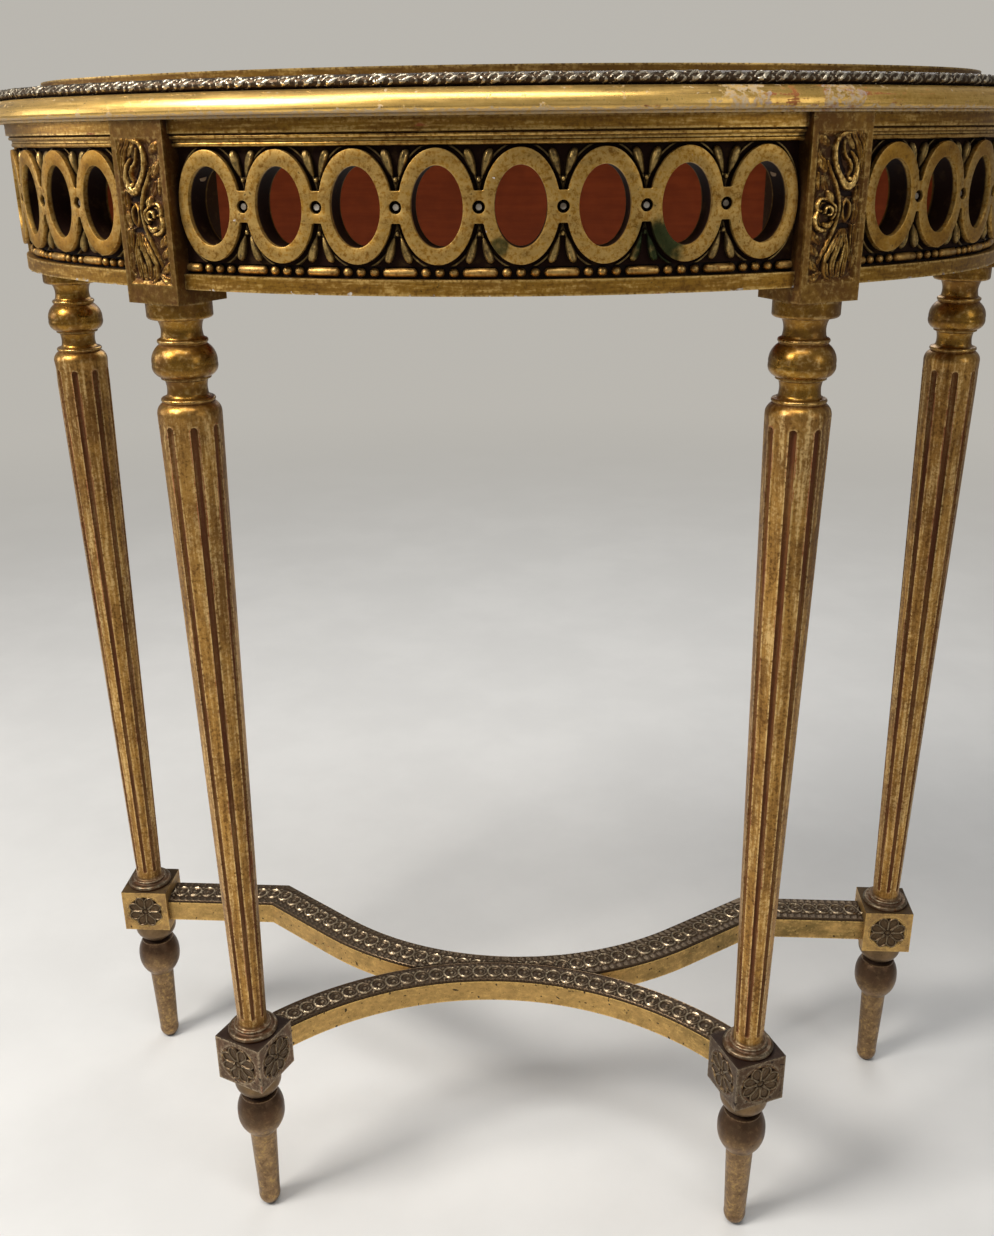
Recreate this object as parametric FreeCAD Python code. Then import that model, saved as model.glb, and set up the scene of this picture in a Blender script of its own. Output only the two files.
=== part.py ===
import FreeCAD, Part
import math
import os

# Demilune pier table in giltwood: a top on a moulded rim, a pierced frieze between four blocks,
# four fluted legs and a pair of bowed stretchers.  Millimetres, +Z up, +Y towards the wall.
# The origin is at floor level, in the middle of the width and of the depth.

Vector = FreeCAD.Vector
UP = Vector(0, 0, 1)

# ---------------------------------------------------------------- driving dimensions
table_width = 742.0
table_depth = 300.0
table_height = 872.0

# plan of the frieze: a three-centred arch whose ends run straight back to the wall side
rim_projection = 13.0
half_width = table_width / 2 - rim_projection
back_y = table_depth / 2
springing_y = 131.0
rise = springing_y + table_depth / 2 - rim_projection
side_radius = 215.0
front_radius = (half_width**2 + rise**2 - 2 * half_width * side_radius) / (2 * (rise - side_radius))
front_centre = (0.0, springing_y + front_radius - rise)
side_centre_x = half_width - side_radius
tangent_angle = math.degrees(math.atan2(side_centre_x, front_centre[1] - springing_y))

# heights of the frieze, from the bottom up
block_bottom = 741.5
fascia_bottom = 750.5
bead_bottom = 759.5
frieze_bottom = 766.5
cornice_bottom = 831.0
rim_bottom = 846.0
rim_top = 860.0
band_top = 867.0

# depths measured from the frieze plan, outwards positive
board_back = -17.0
ground_face = -5.0
ring_face = 0.0
rim_inner = -45.0
top_edge = -25.0

# leg-top blocks and the pilaster ornaments on them
block_side = 42.0
pilaster_angle = 27.5
block_projection = 6.4
front_axis_radius = front_radius + block_projection - block_side / 2
rear_axis_x = half_width + 6.0 - block_side / 2
rear_axis_y = 125.0
ornament_width = 34.0
ornament_height = 83.0
ornament_bottom = 753.0
ornament_recess = 2.5
ornament_relief = 2.6
leaf_root = -block_side / 2 + 1.2
leaf_relief = 3.6

# pierced frieze
oval_height = 61.5
oval_width = 43.0
hole_height = 44.0
hole_width = 29.5
middle_ovals = 8
middle_pitch = 46.8
side_ovals = 5
side_pitch = 44.2
first_side_oval = 255.5
tab_height = 17.0
tab_half_width = 8.0
tab_face = -0.3
pin_hole_radius = 3.5
pin_radius = 1.7
pin_length = 4.2
bead_radius = 2.7
bead_sink = 0.8
bead_step = 0.173
bar_share = 0.42
beads_between_bars = 3

# turned legs
tenon_radius = 9.0
tenon_length = 25.0
disc_radius = 20.6
shaft_top_z = 671.0
shaft_top_radius = 20.6
shaft_bottom_z = 188.0
shaft_bottom_radius = 11.3
flute_count = 8
flute_top = 662.5
flute_bottom = 196.0
flute_radius_top = 2.45
flute_radius_bottom = 1.5
flute_turns = {"front_left": 21.3, "front_right": 29.7, "rear_left": 4.0, "rear_right": -4.8}

# stretcher
lower_block_top = 179.0
lower_block_bottom = 138.5
lower_block_angle = 24.0
lower_tenon_radius = 7.0
lower_tenon_length = 16.0
rail_top = 168.3
rail_height = 21.0
front_rail_width = 24.0
front_rail_radius = 248.5
front_rail_centre_y = -240.4
rear_rail_width = 31.0
rear_rail_back_radius = 240.0
rear_rail_back_y = 41.0
rear_rail_turn = 36.5
kink_x = 213.0
coin_strip_height = 2.0
coin_strip_margin = 0.5
seam_gap = 0.25
coin_pitch = 12.6
coin_radius = 5.0
coin_top_radius = 3.6
coin_height = 1.4
front_coins_each_side = 15
first_rear_coin = 6
rail_tenon_depth = 10.0
rail_tenon_half_width = 5.0
rail_tenon_shoulder = 3.0

# rosettes sunk in the stretcher blocks; the faces that have one, as turns from the outer face
medallion_radius = 17.0
medallion_depth = 1.6
rosette_radius = 16.8
rosette_back = 0.6
rosette_petals = 8
petal_circle = 11.4
petal_cone = {"base": 4.3, "tip": 2.6, "height": 1.4}
eye_cone = {"base": 4.6, "tip": 3.2, "height": 1.6}
rosette_turns = {
    "front_left": (0, 90, -90),
    "front_right": (0, 90, -90),
    "rear_left": (0, -90),
    "rear_right": (0, 90),
}

# back rail, and the frame and battens under the top
back_rail_thickness = 16.0
back_tenon_length = 10.0
back_tenon_shoulder = 4.0
back_tenon_bottom = 765.0
back_tenon_top = 831.0
rim_back_depth = 45.0
top_joint_x = 20.0
batten_width = 40.0
front_batten = {"half_length": 180.0, "y": -28.0}
rear_batten = {"half_length": 280.0, "y": 62.0}

# fixings
screw_radius = 2.0
screw_head_radius = 4.2
screw_tip_z = 868.0
front_screws_x = (-150.0, -10.0, 50.0, 150.0)
rear_screws_x = (-240.0, -10.0, 50.0, 240.0)
glue_block_width = 30.0
glue_block_depth = 22.0
glue_block_height = 20.0
glue_block_places = (-400.0, -300.0, -130.0, 0.0, 130.0, 300.0, 400.0)
dowel_radius = 3.0
dowel_length = 24.0
dowel_heights = (780.0, 815.0)
rail_dowel_radius = 2.5
rail_dowel_length = 18.0
rail_dowels_x = (-40.0, 0.0, 40.0)

# a block larger than the table, to cut with
FAR = 1000.0


# ---------------------------------------------------------------- helpers
def export(name, shape):
    shape.exportStep("parts/" + name + ".step")
    print(name, len(shape.Solids), round(shape.Volume / 1000, 2), shape.isValid())


def unite(shapes):
    result = shapes[0]
    if len(shapes) > 1:
        result = result.fuse(shapes[1:])
    return result.removeSplitter()


def only_solid(shape):
    return max(shape.Solids, key=lambda solid: solid.Volume)


def mirrored(shape):
    return shape.mirror(Vector(0, 0, 0), Vector(1, 0, 0))


def box(x0, x1, y0, y1, z0, z1):
    return Part.makeBox(x1 - x0, y1 - y0, z1 - z0, Vector(x0, y0, z0))


def outline(points):
    """Closed face in the XZ plane.  A point is (x, z), or (x, z, xm, zm) to reach it by an arc."""
    edges = []
    for index, point in enumerate(points):
        last = points[index - 1]
        start = Vector(last[0], 0, last[1])
        end = Vector(point[0], 0, point[1])
        if len(point) == 4:
            edges.append(Part.Arc(start, Vector(point[2], 0, point[3]), end).toShape())
        else:
            edges.append(Part.makeLine(start, end))
    return Part.Face(Part.Wire(edges))


def shifted(points, dx):
    return [tuple(v + dx if i % 2 == 0 else v for i, v in enumerate(point)) for point in points]


def swept_arc(points, centre, radius, start, end):
    """Profile of (offset, z) points turned about a centre, angles from -Y towards +X."""
    face = outline(shifted(points, radius))
    face.rotate(Vector(0, 0, 0), UP, start - 90)
    solid = face.revolve(Vector(0, 0, 0), UP, end - start)
    solid.translate(Vector(centre[0], centre[1], 0))
    return solid


def front_run(points):
    return swept_arc(points, front_centre, front_radius, -pilaster_angle, pilaster_angle)


def side_run(points, end_y):
    """Right-hand run, from the front pilaster round to end_y."""
    shoulder = swept_arc(points, front_centre, front_radius, pilaster_angle, tangent_angle)
    if end_y < springing_y:
        last = 90 - math.degrees(math.asin((springing_y - end_y) / side_radius))
        flank = swept_arc(points, (side_centre_x, springing_y), side_radius, tangent_angle, last)
        return unite([shoulder, flank])
    flank = swept_arc(points, (side_centre_x, springing_y), side_radius, tangent_angle, 90)
    straight = outline(shifted(points, half_width)).extrude(Vector(0, end_y - springing_y, 0))
    straight.translate(Vector(0, springing_y, 0))
    return unite([shoulder, flank, straight])


def plan_area(offset):
    """Face at z = 0 inside the frieze plan moved outwards by offset."""
    side = side_radius + offset
    front = front_radius + offset
    half = half_width + offset
    tangent = math.radians(tangent_angle)

    def on_side(sign, angle):
        x = side_centre_x + side * math.sin(angle)
        return Vector(sign * x, springing_y - side * math.cos(angle), 0)

    middle = (tangent + math.pi / 2) / 2
    corners = [Vector(-half, back_y, 0), Vector(-half, springing_y, 0)]
    left = on_side(-1, tangent)
    right = on_side(1, tangent)
    nose = Vector(0, front_centre[1] - front, 0)
    edges = [
        Part.makeLine(corners[0], corners[1]),
        Part.Arc(corners[1], on_side(-1, middle), left).toShape(),
        Part.Arc(left, nose, right).toShape(),
        Part.Arc(right, on_side(1, middle), Vector(half, springing_y, 0)).toShape(),
        Part.makeLine(Vector(half, springing_y, 0), Vector(half, back_y, 0)),
        Part.makeLine(Vector(half, back_y, 0), corners[0]),
    ]
    return Part.Face(Part.Wire(edges))


def place_on_plan(s):
    """Placement on the frieze plan at arc length s from the middle: local +X along, +Y outwards."""
    sign = 1 if s >= 0 else -1
    front_length = front_radius * math.radians(tangent_angle)
    if abs(s) <= front_length:
        angle = math.degrees(abs(s) / front_radius)
        centre = front_centre
        radius = front_radius
    else:
        angle = tangent_angle + math.degrees((abs(s) - front_length) / side_radius)
        centre = (sign * side_centre_x, springing_y)
        radius = side_radius
    x = centre[0] + sign * radius * math.sin(math.radians(angle))
    y = centre[1] - radius * math.cos(math.radians(angle))
    return FreeCAD.Placement(Vector(x, y, 0), FreeCAD.Rotation(UP, 180 + sign * angle))


def moved(shape, placement):
    copy = shape.copy()
    copy.Placement = placement.multiply(copy.Placement)
    return copy


def turned(points, x=0.0, y=0.0):
    solid = outline(points).revolve(Vector(0, 0, 0), UP, 360)
    solid.translate(Vector(x, y, 0))
    return solid


def elliptic_prism(width, height, z, depth_from, depth_to):
    """Upright oval column through the frieze, axis along local Y."""
    major, minor = max(width, height) / 2, min(width, height) / 2
    ellipse = Part.Ellipse(Vector(0, 0, 0), major, minor)
    face = Part.Face(Part.Wire([ellipse.toShape()]))
    if height > width:
        face.rotate(Vector(0, 0, 0), UP, 90)
    face.rotate(Vector(0, 0, 0), Vector(1, 0, 0), 90)
    solid = face.extrude(Vector(0, depth_to - depth_from, 0))
    solid.translate(Vector(0, depth_from, z))
    return solid


# ---------------------------------------------------------------- leg positions
front_axis_x = front_centre[0] + front_axis_radius * math.sin(math.radians(pilaster_angle))
front_axis_y = front_centre[1] - front_axis_radius * math.cos(math.radians(pilaster_angle))

LEGS = {
    "front_left": (-front_axis_x, front_axis_y, -pilaster_angle, -lower_block_angle),
    "front_right": (front_axis_x, front_axis_y, pilaster_angle, lower_block_angle),
    "rear_left": (-rear_axis_x, rear_axis_y, -90.0, 0.0),
    "rear_right": (rear_axis_x, rear_axis_y, 90.0, 0.0),
}


def upright(x, y, angle):
    """Placement on a leg axis: local -Y is the outer face, turned by angle about the axis."""
    return FreeCAD.Placement(Vector(x, y, 0), FreeCAD.Rotation(UP, angle))


half_block = block_side / 2
upper_envelopes = {}
lower_envelopes = {}
for leg, (x, y, upper_angle, lower_angle) in LEGS.items():
    upper = box(-half_block, half_block, -half_block, half_block, block_bottom, rim_bottom)
    lower = box(-half_block, half_block, -half_block, half_block, lower_block_bottom, lower_block_top)
    upper_envelopes[leg] = moved(upper, upright(x, y, upper_angle))
    lower_envelopes[leg] = moved(lower, upright(x, y, lower_angle))

all_upper = list(upper_envelopes.values())


def front_between_blocks(points):
    return only_solid(front_run(points).cut(all_upper))


def side_between_blocks(points):
    return only_solid(side_run(points, rear_axis_y).cut(all_upper))


# ---------------------------------------------------------------- frieze, cornice, bead and fascia
frieze_middle_z = (frieze_bottom + cornice_bottom) / 2
middle_centres = [(i - (middle_ovals - 1) / 2) * middle_pitch for i in range(middle_ovals)]
side_centres = [first_side_oval + i * side_pitch for i in range(side_ovals)]


def between(centres):
    return [(a + b) / 2 for a, b in zip(centres, centres[1:])]


def stud(radius, length):
    """Round bar that stands out of the sunk ground, halfway up the frieze."""
    return Part.makeCylinder(radius, length, Vector(0, ground_face, frieze_middle_z), Vector(0, 1, 0))


def pierced_panel(board, centres):
    """Sunk ground with a chain of raised oval rings, tabs between them, pierced inside each ring."""
    root = ground_face - 2
    low = frieze_middle_z - tab_height / 2
    ring = elliptic_prism(oval_width, oval_height, frieze_middle_z, root, ring_face)
    tab = box(-tab_half_width, tab_half_width, root, tab_face, low, low + tab_height)
    hole = elliptic_prism(hole_width, hole_height, frieze_middle_z, 2 * board_back, -board_back)
    bore = stud(pin_hole_radius, 2 * (ring_face - ground_face))
    raised = [moved(ring, place_on_plan(s)) for s in centres]
    raised += [moved(tab, place_on_plan(s)) for s in between(centres)]
    holes = [moved(hole, place_on_plan(s)) for s in centres]
    holes += [moved(bore, place_on_plan(s)) for s in between(centres)]
    return only_solid(board.fuse(raised).cut(holes).cut(all_upper))


def pins(centres):
    return [moved(stud(pin_radius, pin_length), place_on_plan(s)) for s in between(centres)]


def bead_and_bar(strip, pin_places):
    """Strip with one bar under each tab and a group of beads between the bars."""
    pitch = pin_places[1] - pin_places[0]
    length = bar_share * pitch
    middle = Vector(0, ground_face - bead_sink, (bead_bottom + frieze_bottom) / 2)
    bar = Part.makeCylinder(bead_radius, length, middle - Vector(length / 2, 0, 0), Vector(1, 0, 0))
    bead = Part.makeSphere(bead_radius, middle, Vector(0, 1, 1))
    ends = pin_places + [pin_places[-1] + pitch]
    shapes = [moved(bar, place_on_plan(s)) for s in [pin_places[0] - pitch] + ends]
    for s in ends:
        for index in range(beads_between_bars):
            step = index - (beads_between_bars - 1) / 2
            shapes.append(moved(bead, place_on_plan(s - pitch / 2 + step * bead_step * pitch)))
    return only_solid(strip.fuse(shapes).cut(all_upper))


ground_profile = [(board_back, frieze_bottom), (ground_face, frieze_bottom),
                  (ground_face, cornice_bottom), (board_back, cornice_bottom)]
fascia_profile = [(board_back, fascia_bottom), (ring_face, fascia_bottom),
                  (ring_face, bead_bottom), (board_back, bead_bottom)]
strip_face = ground_face - 2.2
strip_profile = [(board_back, bead_bottom), (strip_face, bead_bottom),
                 (strip_face, frieze_bottom), (board_back, frieze_bottom)]
cornice_profile = [
    (board_back, cornice_bottom),
    (-1.6, cornice_bottom),
    (-1.6, 833.8, -0.3, 832.4),
    (-0.8, 833.8),
    (-0.8, 835.4),
    (0.2, 835.4),
    (0.2, 837.6, 1.2, 836.5),
    (1.2, 838.4),
    (2.6, 838.4),
    (2.6, rim_bottom),
    (board_back, rim_bottom),
]

frieze = {
    "front": pierced_panel(front_between_blocks(ground_profile), middle_centres),
    "right": pierced_panel(side_between_blocks(ground_profile), side_centres),
}
frieze["left"] = mirrored(frieze["right"])

bead_strip = {
    "front": bead_and_bar(front_between_blocks(strip_profile), between(middle_centres)),
    "right": bead_and_bar(side_between_blocks(strip_profile), between(side_centres)),
}
bead_strip["left"] = mirrored(bead_strip["right"])

fascia = {"front": front_between_blocks(fascia_profile), "right": side_between_blocks(fascia_profile)}
fascia["left"] = mirrored(fascia["right"])

cornice = {"front": front_between_blocks(cornice_profile), "right": side_between_blocks(cornice_profile)}
cornice["left"] = mirrored(cornice["right"])

side_pins = pins(side_centres)
frieze_pins = pins(middle_centres) + side_pins + [mirrored(pin) for pin in side_pins]

# ---------------------------------------------------------------- rim, carved band and top
rim_profile = [
    (rim_inner, rim_bottom),
    (9.0, rim_bottom),
    (9.0, rim_bottom + 1.6),
    (11.2, rim_bottom + 1.6),
    (rim_projection, 850.4, 12.6, 848.8),
    (2.2, rim_top, 10.2, 856.8),
    (rim_inner, rim_top),
]
band_profile = [
    (top_edge, rim_top),
    (1.2, rim_top),
    (1.2, 860.8),
    (2.4, 866.0, 4.6, 863.2),
    (-1.0, band_top),
    (top_edge, band_top),
]
rim = {"front": front_run(rim_profile), "right": side_run(rim_profile, back_y)}
rim["left"] = mirrored(rim["right"])
band = {"front": front_run(band_profile), "right": side_run(band_profile, back_y)}
band["left"] = mirrored(band["right"])

rim_back = box(-FAR, FAR, back_y - rim_back_depth, back_y, rim_bottom, rim_top)
inner_area = plan_area(rim_inner).extrude(Vector(0, 0, table_height))
rim_back = only_solid(rim_back.common(inner_area))

top_blank = plan_area(top_edge).extrude(Vector(0, 0, table_height - rim_top))
top_blank.translate(Vector(0, 0, rim_top))
top_left = top_blank.common(box(-FAR, top_joint_x, -FAR, FAR, 0, FAR))
top_right = top_blank.common(box(top_joint_x, FAR, -FAR, FAR, 0, FAR))


# ---------------------------------------------------------------- battens, screws and glue blocks
def batten(half_length, y):
    return box(-half_length, half_length, y, y + batten_width, rim_bottom, rim_top)


def screw(x, y):
    """Countersunk screw, driven up through a batten."""
    profile = [
        (0, rim_bottom),
        (screw_head_radius, rim_bottom),
        (screw_radius, rim_bottom + screw_head_radius - screw_radius),
        (screw_radius, screw_tip_z - screw_radius),
        (0, screw_tip_z),
    ]
    return turned(profile, x, y)


screws = [screw(x, front_batten["y"] + batten_width / 2) for x in front_screws_x]
screws += [screw(x, rear_batten["y"] + batten_width / 2) for x in rear_screws_x]
battens = {
    "front": batten(**front_batten).cut(screws),
    "rear": batten(**rear_batten).cut(screws),
}
top_left = only_solid(top_left.cut(screws))
top_right = only_solid(top_right.cut(screws))

glue_block = box(-glue_block_width / 2, glue_block_width / 2, board_back - glue_block_depth, board_back,
                 rim_bottom - glue_block_height, rim_bottom)
boards = list(cornice.values()) + list(frieze.values())
glue_blocks = [only_solid(moved(glue_block, place_on_plan(s)).cut(boards)) for s in glue_block_places]

# ---------------------------------------------------------------- back rail
back_rail_back = rear_axis_y + half_block
back_rail_front = back_rail_back - back_rail_thickness
back_rail_half = rear_axis_x - half_block
back_reach = back_rail_half + back_tenon_length
back_board = box(-back_rail_half, back_rail_half, back_rail_front, back_rail_back,
                 fascia_bottom, rim_bottom)
back_tenon = box(-back_reach, back_reach, back_rail_front + back_tenon_shoulder,
                 back_rail_back - back_tenon_shoulder, back_tenon_bottom, back_tenon_top)
back_rail = unite([back_board, back_tenon])

# ---------------------------------------------------------------- dowels between boards and blocks
dowel_depth = (board_back + ground_face) / 2
front_dowel_y = -half_block + block_projection - dowel_depth + 0.6
rear_dowel_x = half_width + dowel_depth - 2.0


def dowel(x, y, z, direction):
    """Dowel centred on a joint face."""
    start = Vector(x, y, z) - direction * (dowel_length / 2)
    return Part.makeCylinder(dowel_radius, dowel_length, start, direction)


dowels = []
for z in dowel_heights:
    for leg in ("front_left", "front_right"):
        x, y, angle, _ = LEGS[leg]
        for end in (-half_block, half_block):
            dowels.append(moved(dowel(end, front_dowel_y, z, Vector(1, 0, 0)), upright(x, y, angle)))
    for x in (-rear_dowel_x, rear_dowel_x):
        dowels.append(dowel(x, rear_axis_y - half_block, z, Vector(0, 1, 0)))

for key in frieze:
    frieze[key] = only_solid(frieze[key].cut(dowels))

# ---------------------------------------------------------------- leg-top blocks and ornaments
ornament_top = ornament_bottom + ornament_height
panel_face = -half_block
panel_floor = panel_face + ornament_recess
panel_half = ornament_width / 2


def leaf(x, z, across, along, lean):
    """Domed leaf lying on the panel, leaning from the upright by an angle."""
    stretch = FreeCAD.Matrix()
    stretch.scale(Vector(across, leaf_relief, along))
    shape = Part.makeSphere(1).transformGeometry(stretch)
    shape.rotate(Vector(0, 0, 0), Vector(0, 1, 0), lean)
    shape.translate(Vector(x, leaf_root, z))
    return shape


def ornament():
    """Applied spray in a sunk panel: an upper scroll, a rosette and a lower leaf on a thin back."""
    back = box(-panel_half, panel_half, panel_face + 1, panel_floor, ornament_bottom, ornament_top)
    spray = [
        leaf(-7, 822, 6.5, 16, 14),
        leaf(6, 815, 6, 17, -12),
        leaf(-2, 790, 5, 14, 30),
        leaf(6, 768, 6.5, 17, -14),
        leaf(-7, 770, 6, 15, 16),
        Part.makeCone(8.5, 5.5, 4, Vector(5, leaf_root, 793), Vector(0, -1, 0)),
    ]
    keep = box(-panel_half, panel_half, panel_face - ornament_relief, panel_floor,
               ornament_bottom, ornament_top)
    return only_solid(back.fuse(spray).common(keep))


ornament_shape = ornament()
recess = box(-panel_half, panel_half, panel_face - 1, panel_floor, ornament_bottom, ornament_top)
socket = Part.makeCylinder(tenon_radius, tenon_length, Vector(0, 0, block_bottom))

upper_blocks = {}
ornaments = {}
for leg, (x, y, upper_angle, _) in LEGS.items():
    place = upright(x, y, upper_angle)
    block = upper_envelopes[leg].cut([moved(recess, place), moved(socket, place)])
    upper_blocks[leg] = only_solid(block.cut(dowels + [back_tenon]))
    flip = ornament_shape if "left" in leg else mirrored(ornament_shape)
    ornaments[leg] = moved(flip, place)

# ---------------------------------------------------------------- turned, fluted legs
shaft_slope = (shaft_top_radius - shaft_bottom_radius) / (shaft_top_z - shaft_bottom_z)


def shaft_radius(z):
    return shaft_bottom_radius + (z - shaft_bottom_z) * shaft_slope


leg_profile = [
    (0, block_bottom + tenon_length),
    (tenon_radius, block_bottom + tenon_length),
    (tenon_radius, block_bottom),
    (disc_radius, block_bottom),
    (disc_radius, 733.0),
    (18.6, 731.0, 20.0, 731.6),
    (14.6, 730.4),
    (14.2, 729.6),
    (13.2, 720.6, 12.9, 725.0),
    (15.3, 718.2, 13.8, 719.0),
    (15.4, 715.8, 16.0, 717.0),
    (15.0, 714.8),
    (20.6, 703.0, 18.7, 711.0),
    (16.2, 694.8, 19.9, 698.0),
    (15.8, 694.6),
    (15.8, 693.4),
    (13.6, 692.4),
    (13.0, 684.4, 12.8, 688.4),
    (16.2, 681.4, 13.8, 682.4),
    (16.6, 678.8, 17.3, 680.1),
    (16.4, 678.2),
    (shaft_top_radius, shaft_top_z, 19.4, 675.4),
    (shaft_bottom_radius, shaft_bottom_z),
    (13.6, 186.2, 11.9, 186.6),
    (13.6, 184.2, 14.6, 185.2),
    (16.6, 183.2, 14.6, 183.3),
    (17.2, 183.2),
    (18.2, lower_block_top, 19.4, 181.0),
    (lower_tenon_radius, lower_block_top),
    (lower_tenon_radius, lower_block_top - lower_tenon_length),
    (0, lower_block_top - lower_tenon_length),
]


def flute():
    """Tapered round-ended rod centred on the shaft's front line, to cut one groove with."""
    low = Vector(0, -shaft_radius(flute_bottom), flute_bottom)
    high = Vector(0, -shaft_radius(flute_top), flute_top)
    axis = high - low
    cone = Part.makeCone(flute_radius_bottom, flute_radius_top, axis.Length, low, axis)
    ends = [Part.makeSphere(flute_radius_bottom, low), Part.makeSphere(flute_radius_top, high)]
    return cone.fuse(ends)


def around(shape, count):
    copies = []
    for index in range(count):
        copy = shape.copy()
        copy.rotate(Vector(0, 0, 0), UP, index * 360 / count)
        copies.append(copy)
    return copies


# baluster neck over a tapering shaft with round-ended flutes
leg_shape = only_solid(turned(leg_profile).cut(around(flute(), flute_count)))

# ---------------------------------------------------------------- feet
foot_profile = [
    (0, lower_block_bottom + lower_tenon_length),
    (lower_tenon_radius, lower_block_bottom + lower_tenon_length),
    (lower_tenon_radius, lower_block_bottom),
    (18.6, lower_block_bottom),
    (18.6, 131.5),
    (11.6, 119.6, 16.6, 124.0),
    (10.6, 119.2),
    (10.6, 117.6),
    (14.3, 116.4),
    (14.3, 115.2),
    (18.9, 99.0, 17.6, 108.5),
    (11.2, 79.0, 16.9, 87.5),
    (10.8, 78.0),
    (8.7, 12.0),
    (4.0, 0.0, 7.4, 4.0),
    (0, 0),
]
foot_shape = turned(foot_profile)

# ---------------------------------------------------------------- stretcher rails
rail_bottom = rail_top - rail_height
rail_body_top = rail_top - coin_strip_height
tenon_low = rail_bottom + rail_tenon_shoulder
tenon_high = rail_body_top - rail_tenon_shoulder
rear_turn = math.radians(rear_rail_turn)
rear_rail_centre_y = rear_rail_back_y + rear_rail_back_radius
arc_end_x = rear_rail_back_radius * math.sin(rear_turn)
arc_end_y = rear_rail_centre_y - rear_rail_back_radius * math.cos(rear_turn)
kink_y = arc_end_y + (kink_x - arc_end_x) * math.tan(rear_turn)


def ring_sector(centre_y, inner, outer, z0, z1):
    outer_disc = Part.makeCylinder(outer, z1 - z0, Vector(0, centre_y, z0))
    inner_disc = Part.makeCylinder(inner, z1 - z0, Vector(0, centre_y, z0))
    return outer_disc.cut(inner_disc)


def front_bow(inner, outer, z0, z1):
    ring = ring_sector(front_rail_centre_y, front_rail_radius + inner, front_rail_radius + outer, z0, z1)
    return only_solid(ring.common(box(-front_axis_x, front_axis_x, front_axis_y, FAR, z0, z1)))


def rear_bow(inset_back, inset_front, z0, z1):
    """Bowed middle, straight slopes, then ends parallel to the wall, as one plan outline."""
    def bow(inset):
        radius = rear_rail_back_radius + inset
        arc = Vector(radius * math.sin(rear_turn), rear_rail_centre_y - radius * math.cos(rear_turn), z0)
        kink = Vector(kink_x + inset * math.tan(rear_turn / 2), kink_y - inset, z0)
        end = Vector(rear_axis_x, kink_y - inset, z0)
        return Vector(0, rear_rail_centre_y - radius, z0), arc, kink, end

    def opposite(point):
        return Vector(-point.x, point.y, z0)

    edges = []
    for middle, arc, kink, end in (bow(inset_back), bow(inset_front)):
        edges.append(Part.Arc(opposite(arc), middle, arc).toShape())
        edges += [Part.makeLine(arc, kink), Part.makeLine(kink, end)]
        edges.append(Part.makeLine(opposite(arc), opposite(kink)))
        edges.append(Part.makeLine(opposite(kink), opposite(end)))
    back_end, front_end = bow(inset_back)[3], bow(inset_front)[3]
    edges += [Part.makeLine(back_end, front_end), Part.makeLine(opposite(back_end), opposite(front_end))]
    plan = Part.Face(Part.Wire(Part.sortEdges(edges)[0]))
    return plan.extrude(Vector(0, 0, z1 - z0))


all_lower = list(lower_envelopes.values())
seam_radius = front_rail_radius + front_rail_width
seam = Part.makeCylinder(seam_radius, FAR, Vector(0, front_rail_centre_y, 0))

rear_rail_full = rear_bow(0, rear_rail_width, rail_bottom, rail_body_top).cut(seam)
front_rail_full = front_bow(0, front_rail_width, rail_bottom, rail_body_top)
rear_rail = only_solid(rear_rail_full.cut(all_lower))
front_rail = only_solid(front_rail_full.cut(all_lower))

# a stub at each rail end, inside the block it meets
tenon_near = front_rail_width / 2 - rail_tenon_half_width
tenon_far = front_rail_width / 2 + rail_tenon_half_width
front_tenon = front_bow(tenon_near, tenon_far, tenon_low, tenon_high)
front_tenon_ends = []
for leg in ("front_left", "front_right"):
    x, y = LEGS[leg][:2]
    core = Part.makeCylinder(half_block - rail_tenon_depth, FAR, Vector(x, y, 0))
    stubs = front_tenon.common(lower_envelopes[leg]).cut(core).Solids
    front_tenon_ends.append(max(stubs, key=lambda solid: solid.CenterOfMass.y))
inner = rear_axis_x - half_block
rear_stub = box(inner, inner + rail_tenon_depth, rear_axis_y - 1 - rail_tenon_half_width,
                rear_axis_y - 1 + rail_tenon_half_width, tenon_low, tenon_high)
rear_tenon_ends = [rear_stub, mirrored(rear_stub)]

stretcher_dowels = []
for x in rail_dowels_x:
    seam_y = front_rail_centre_y + math.sqrt(seam_radius**2 - x**2)
    start = Vector(x, seam_y - rail_dowel_length * 0.7, rail_bottom + rail_height / 2)
    stretcher_dowels.append(Part.makeCylinder(rail_dowel_radius, rail_dowel_length, start, Vector(0, 1, 0)))

front_rail = only_solid(unite([front_rail] + front_tenon_ends).cut(stretcher_dowels))
rear_rail = only_solid(unite([rear_rail] + rear_tenon_ends).cut(stretcher_dowels))


def medallion(radius, floor, height):
    """Round plate on a stretcher block's outer face, its back this far in from the face."""
    middle = Vector(0, floor - half_block, (lower_block_top + lower_block_bottom) / 2)
    return Part.makeCylinder(radius, height, middle, Vector(0, -1, 0))


lower_blocks = {}
leg_tenon_bottom = lower_block_top - lower_tenon_length
top_socket = Part.makeCylinder(lower_tenon_radius, lower_tenon_length, Vector(0, 0, leg_tenon_bottom))
foot_socket = Part.makeCylinder(lower_tenon_radius, lower_tenon_length, Vector(0, 0, lower_block_bottom))
sunk_medallion = medallion(medallion_radius, medallion_depth, 2 * medallion_depth)
for leg, (x, y, _, lower_angle) in LEGS.items():
    place = upright(x, y, lower_angle)
    tools = [moved(top_socket, place), moved(foot_socket, place)] + front_tenon_ends + rear_tenon_ends
    tools += [moved(sunk_medallion, upright(x, y, lower_angle + turn)) for turn in rosette_turns[leg]]
    lower_blocks[leg] = only_solid(lower_envelopes[leg].cut(tools))


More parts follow.
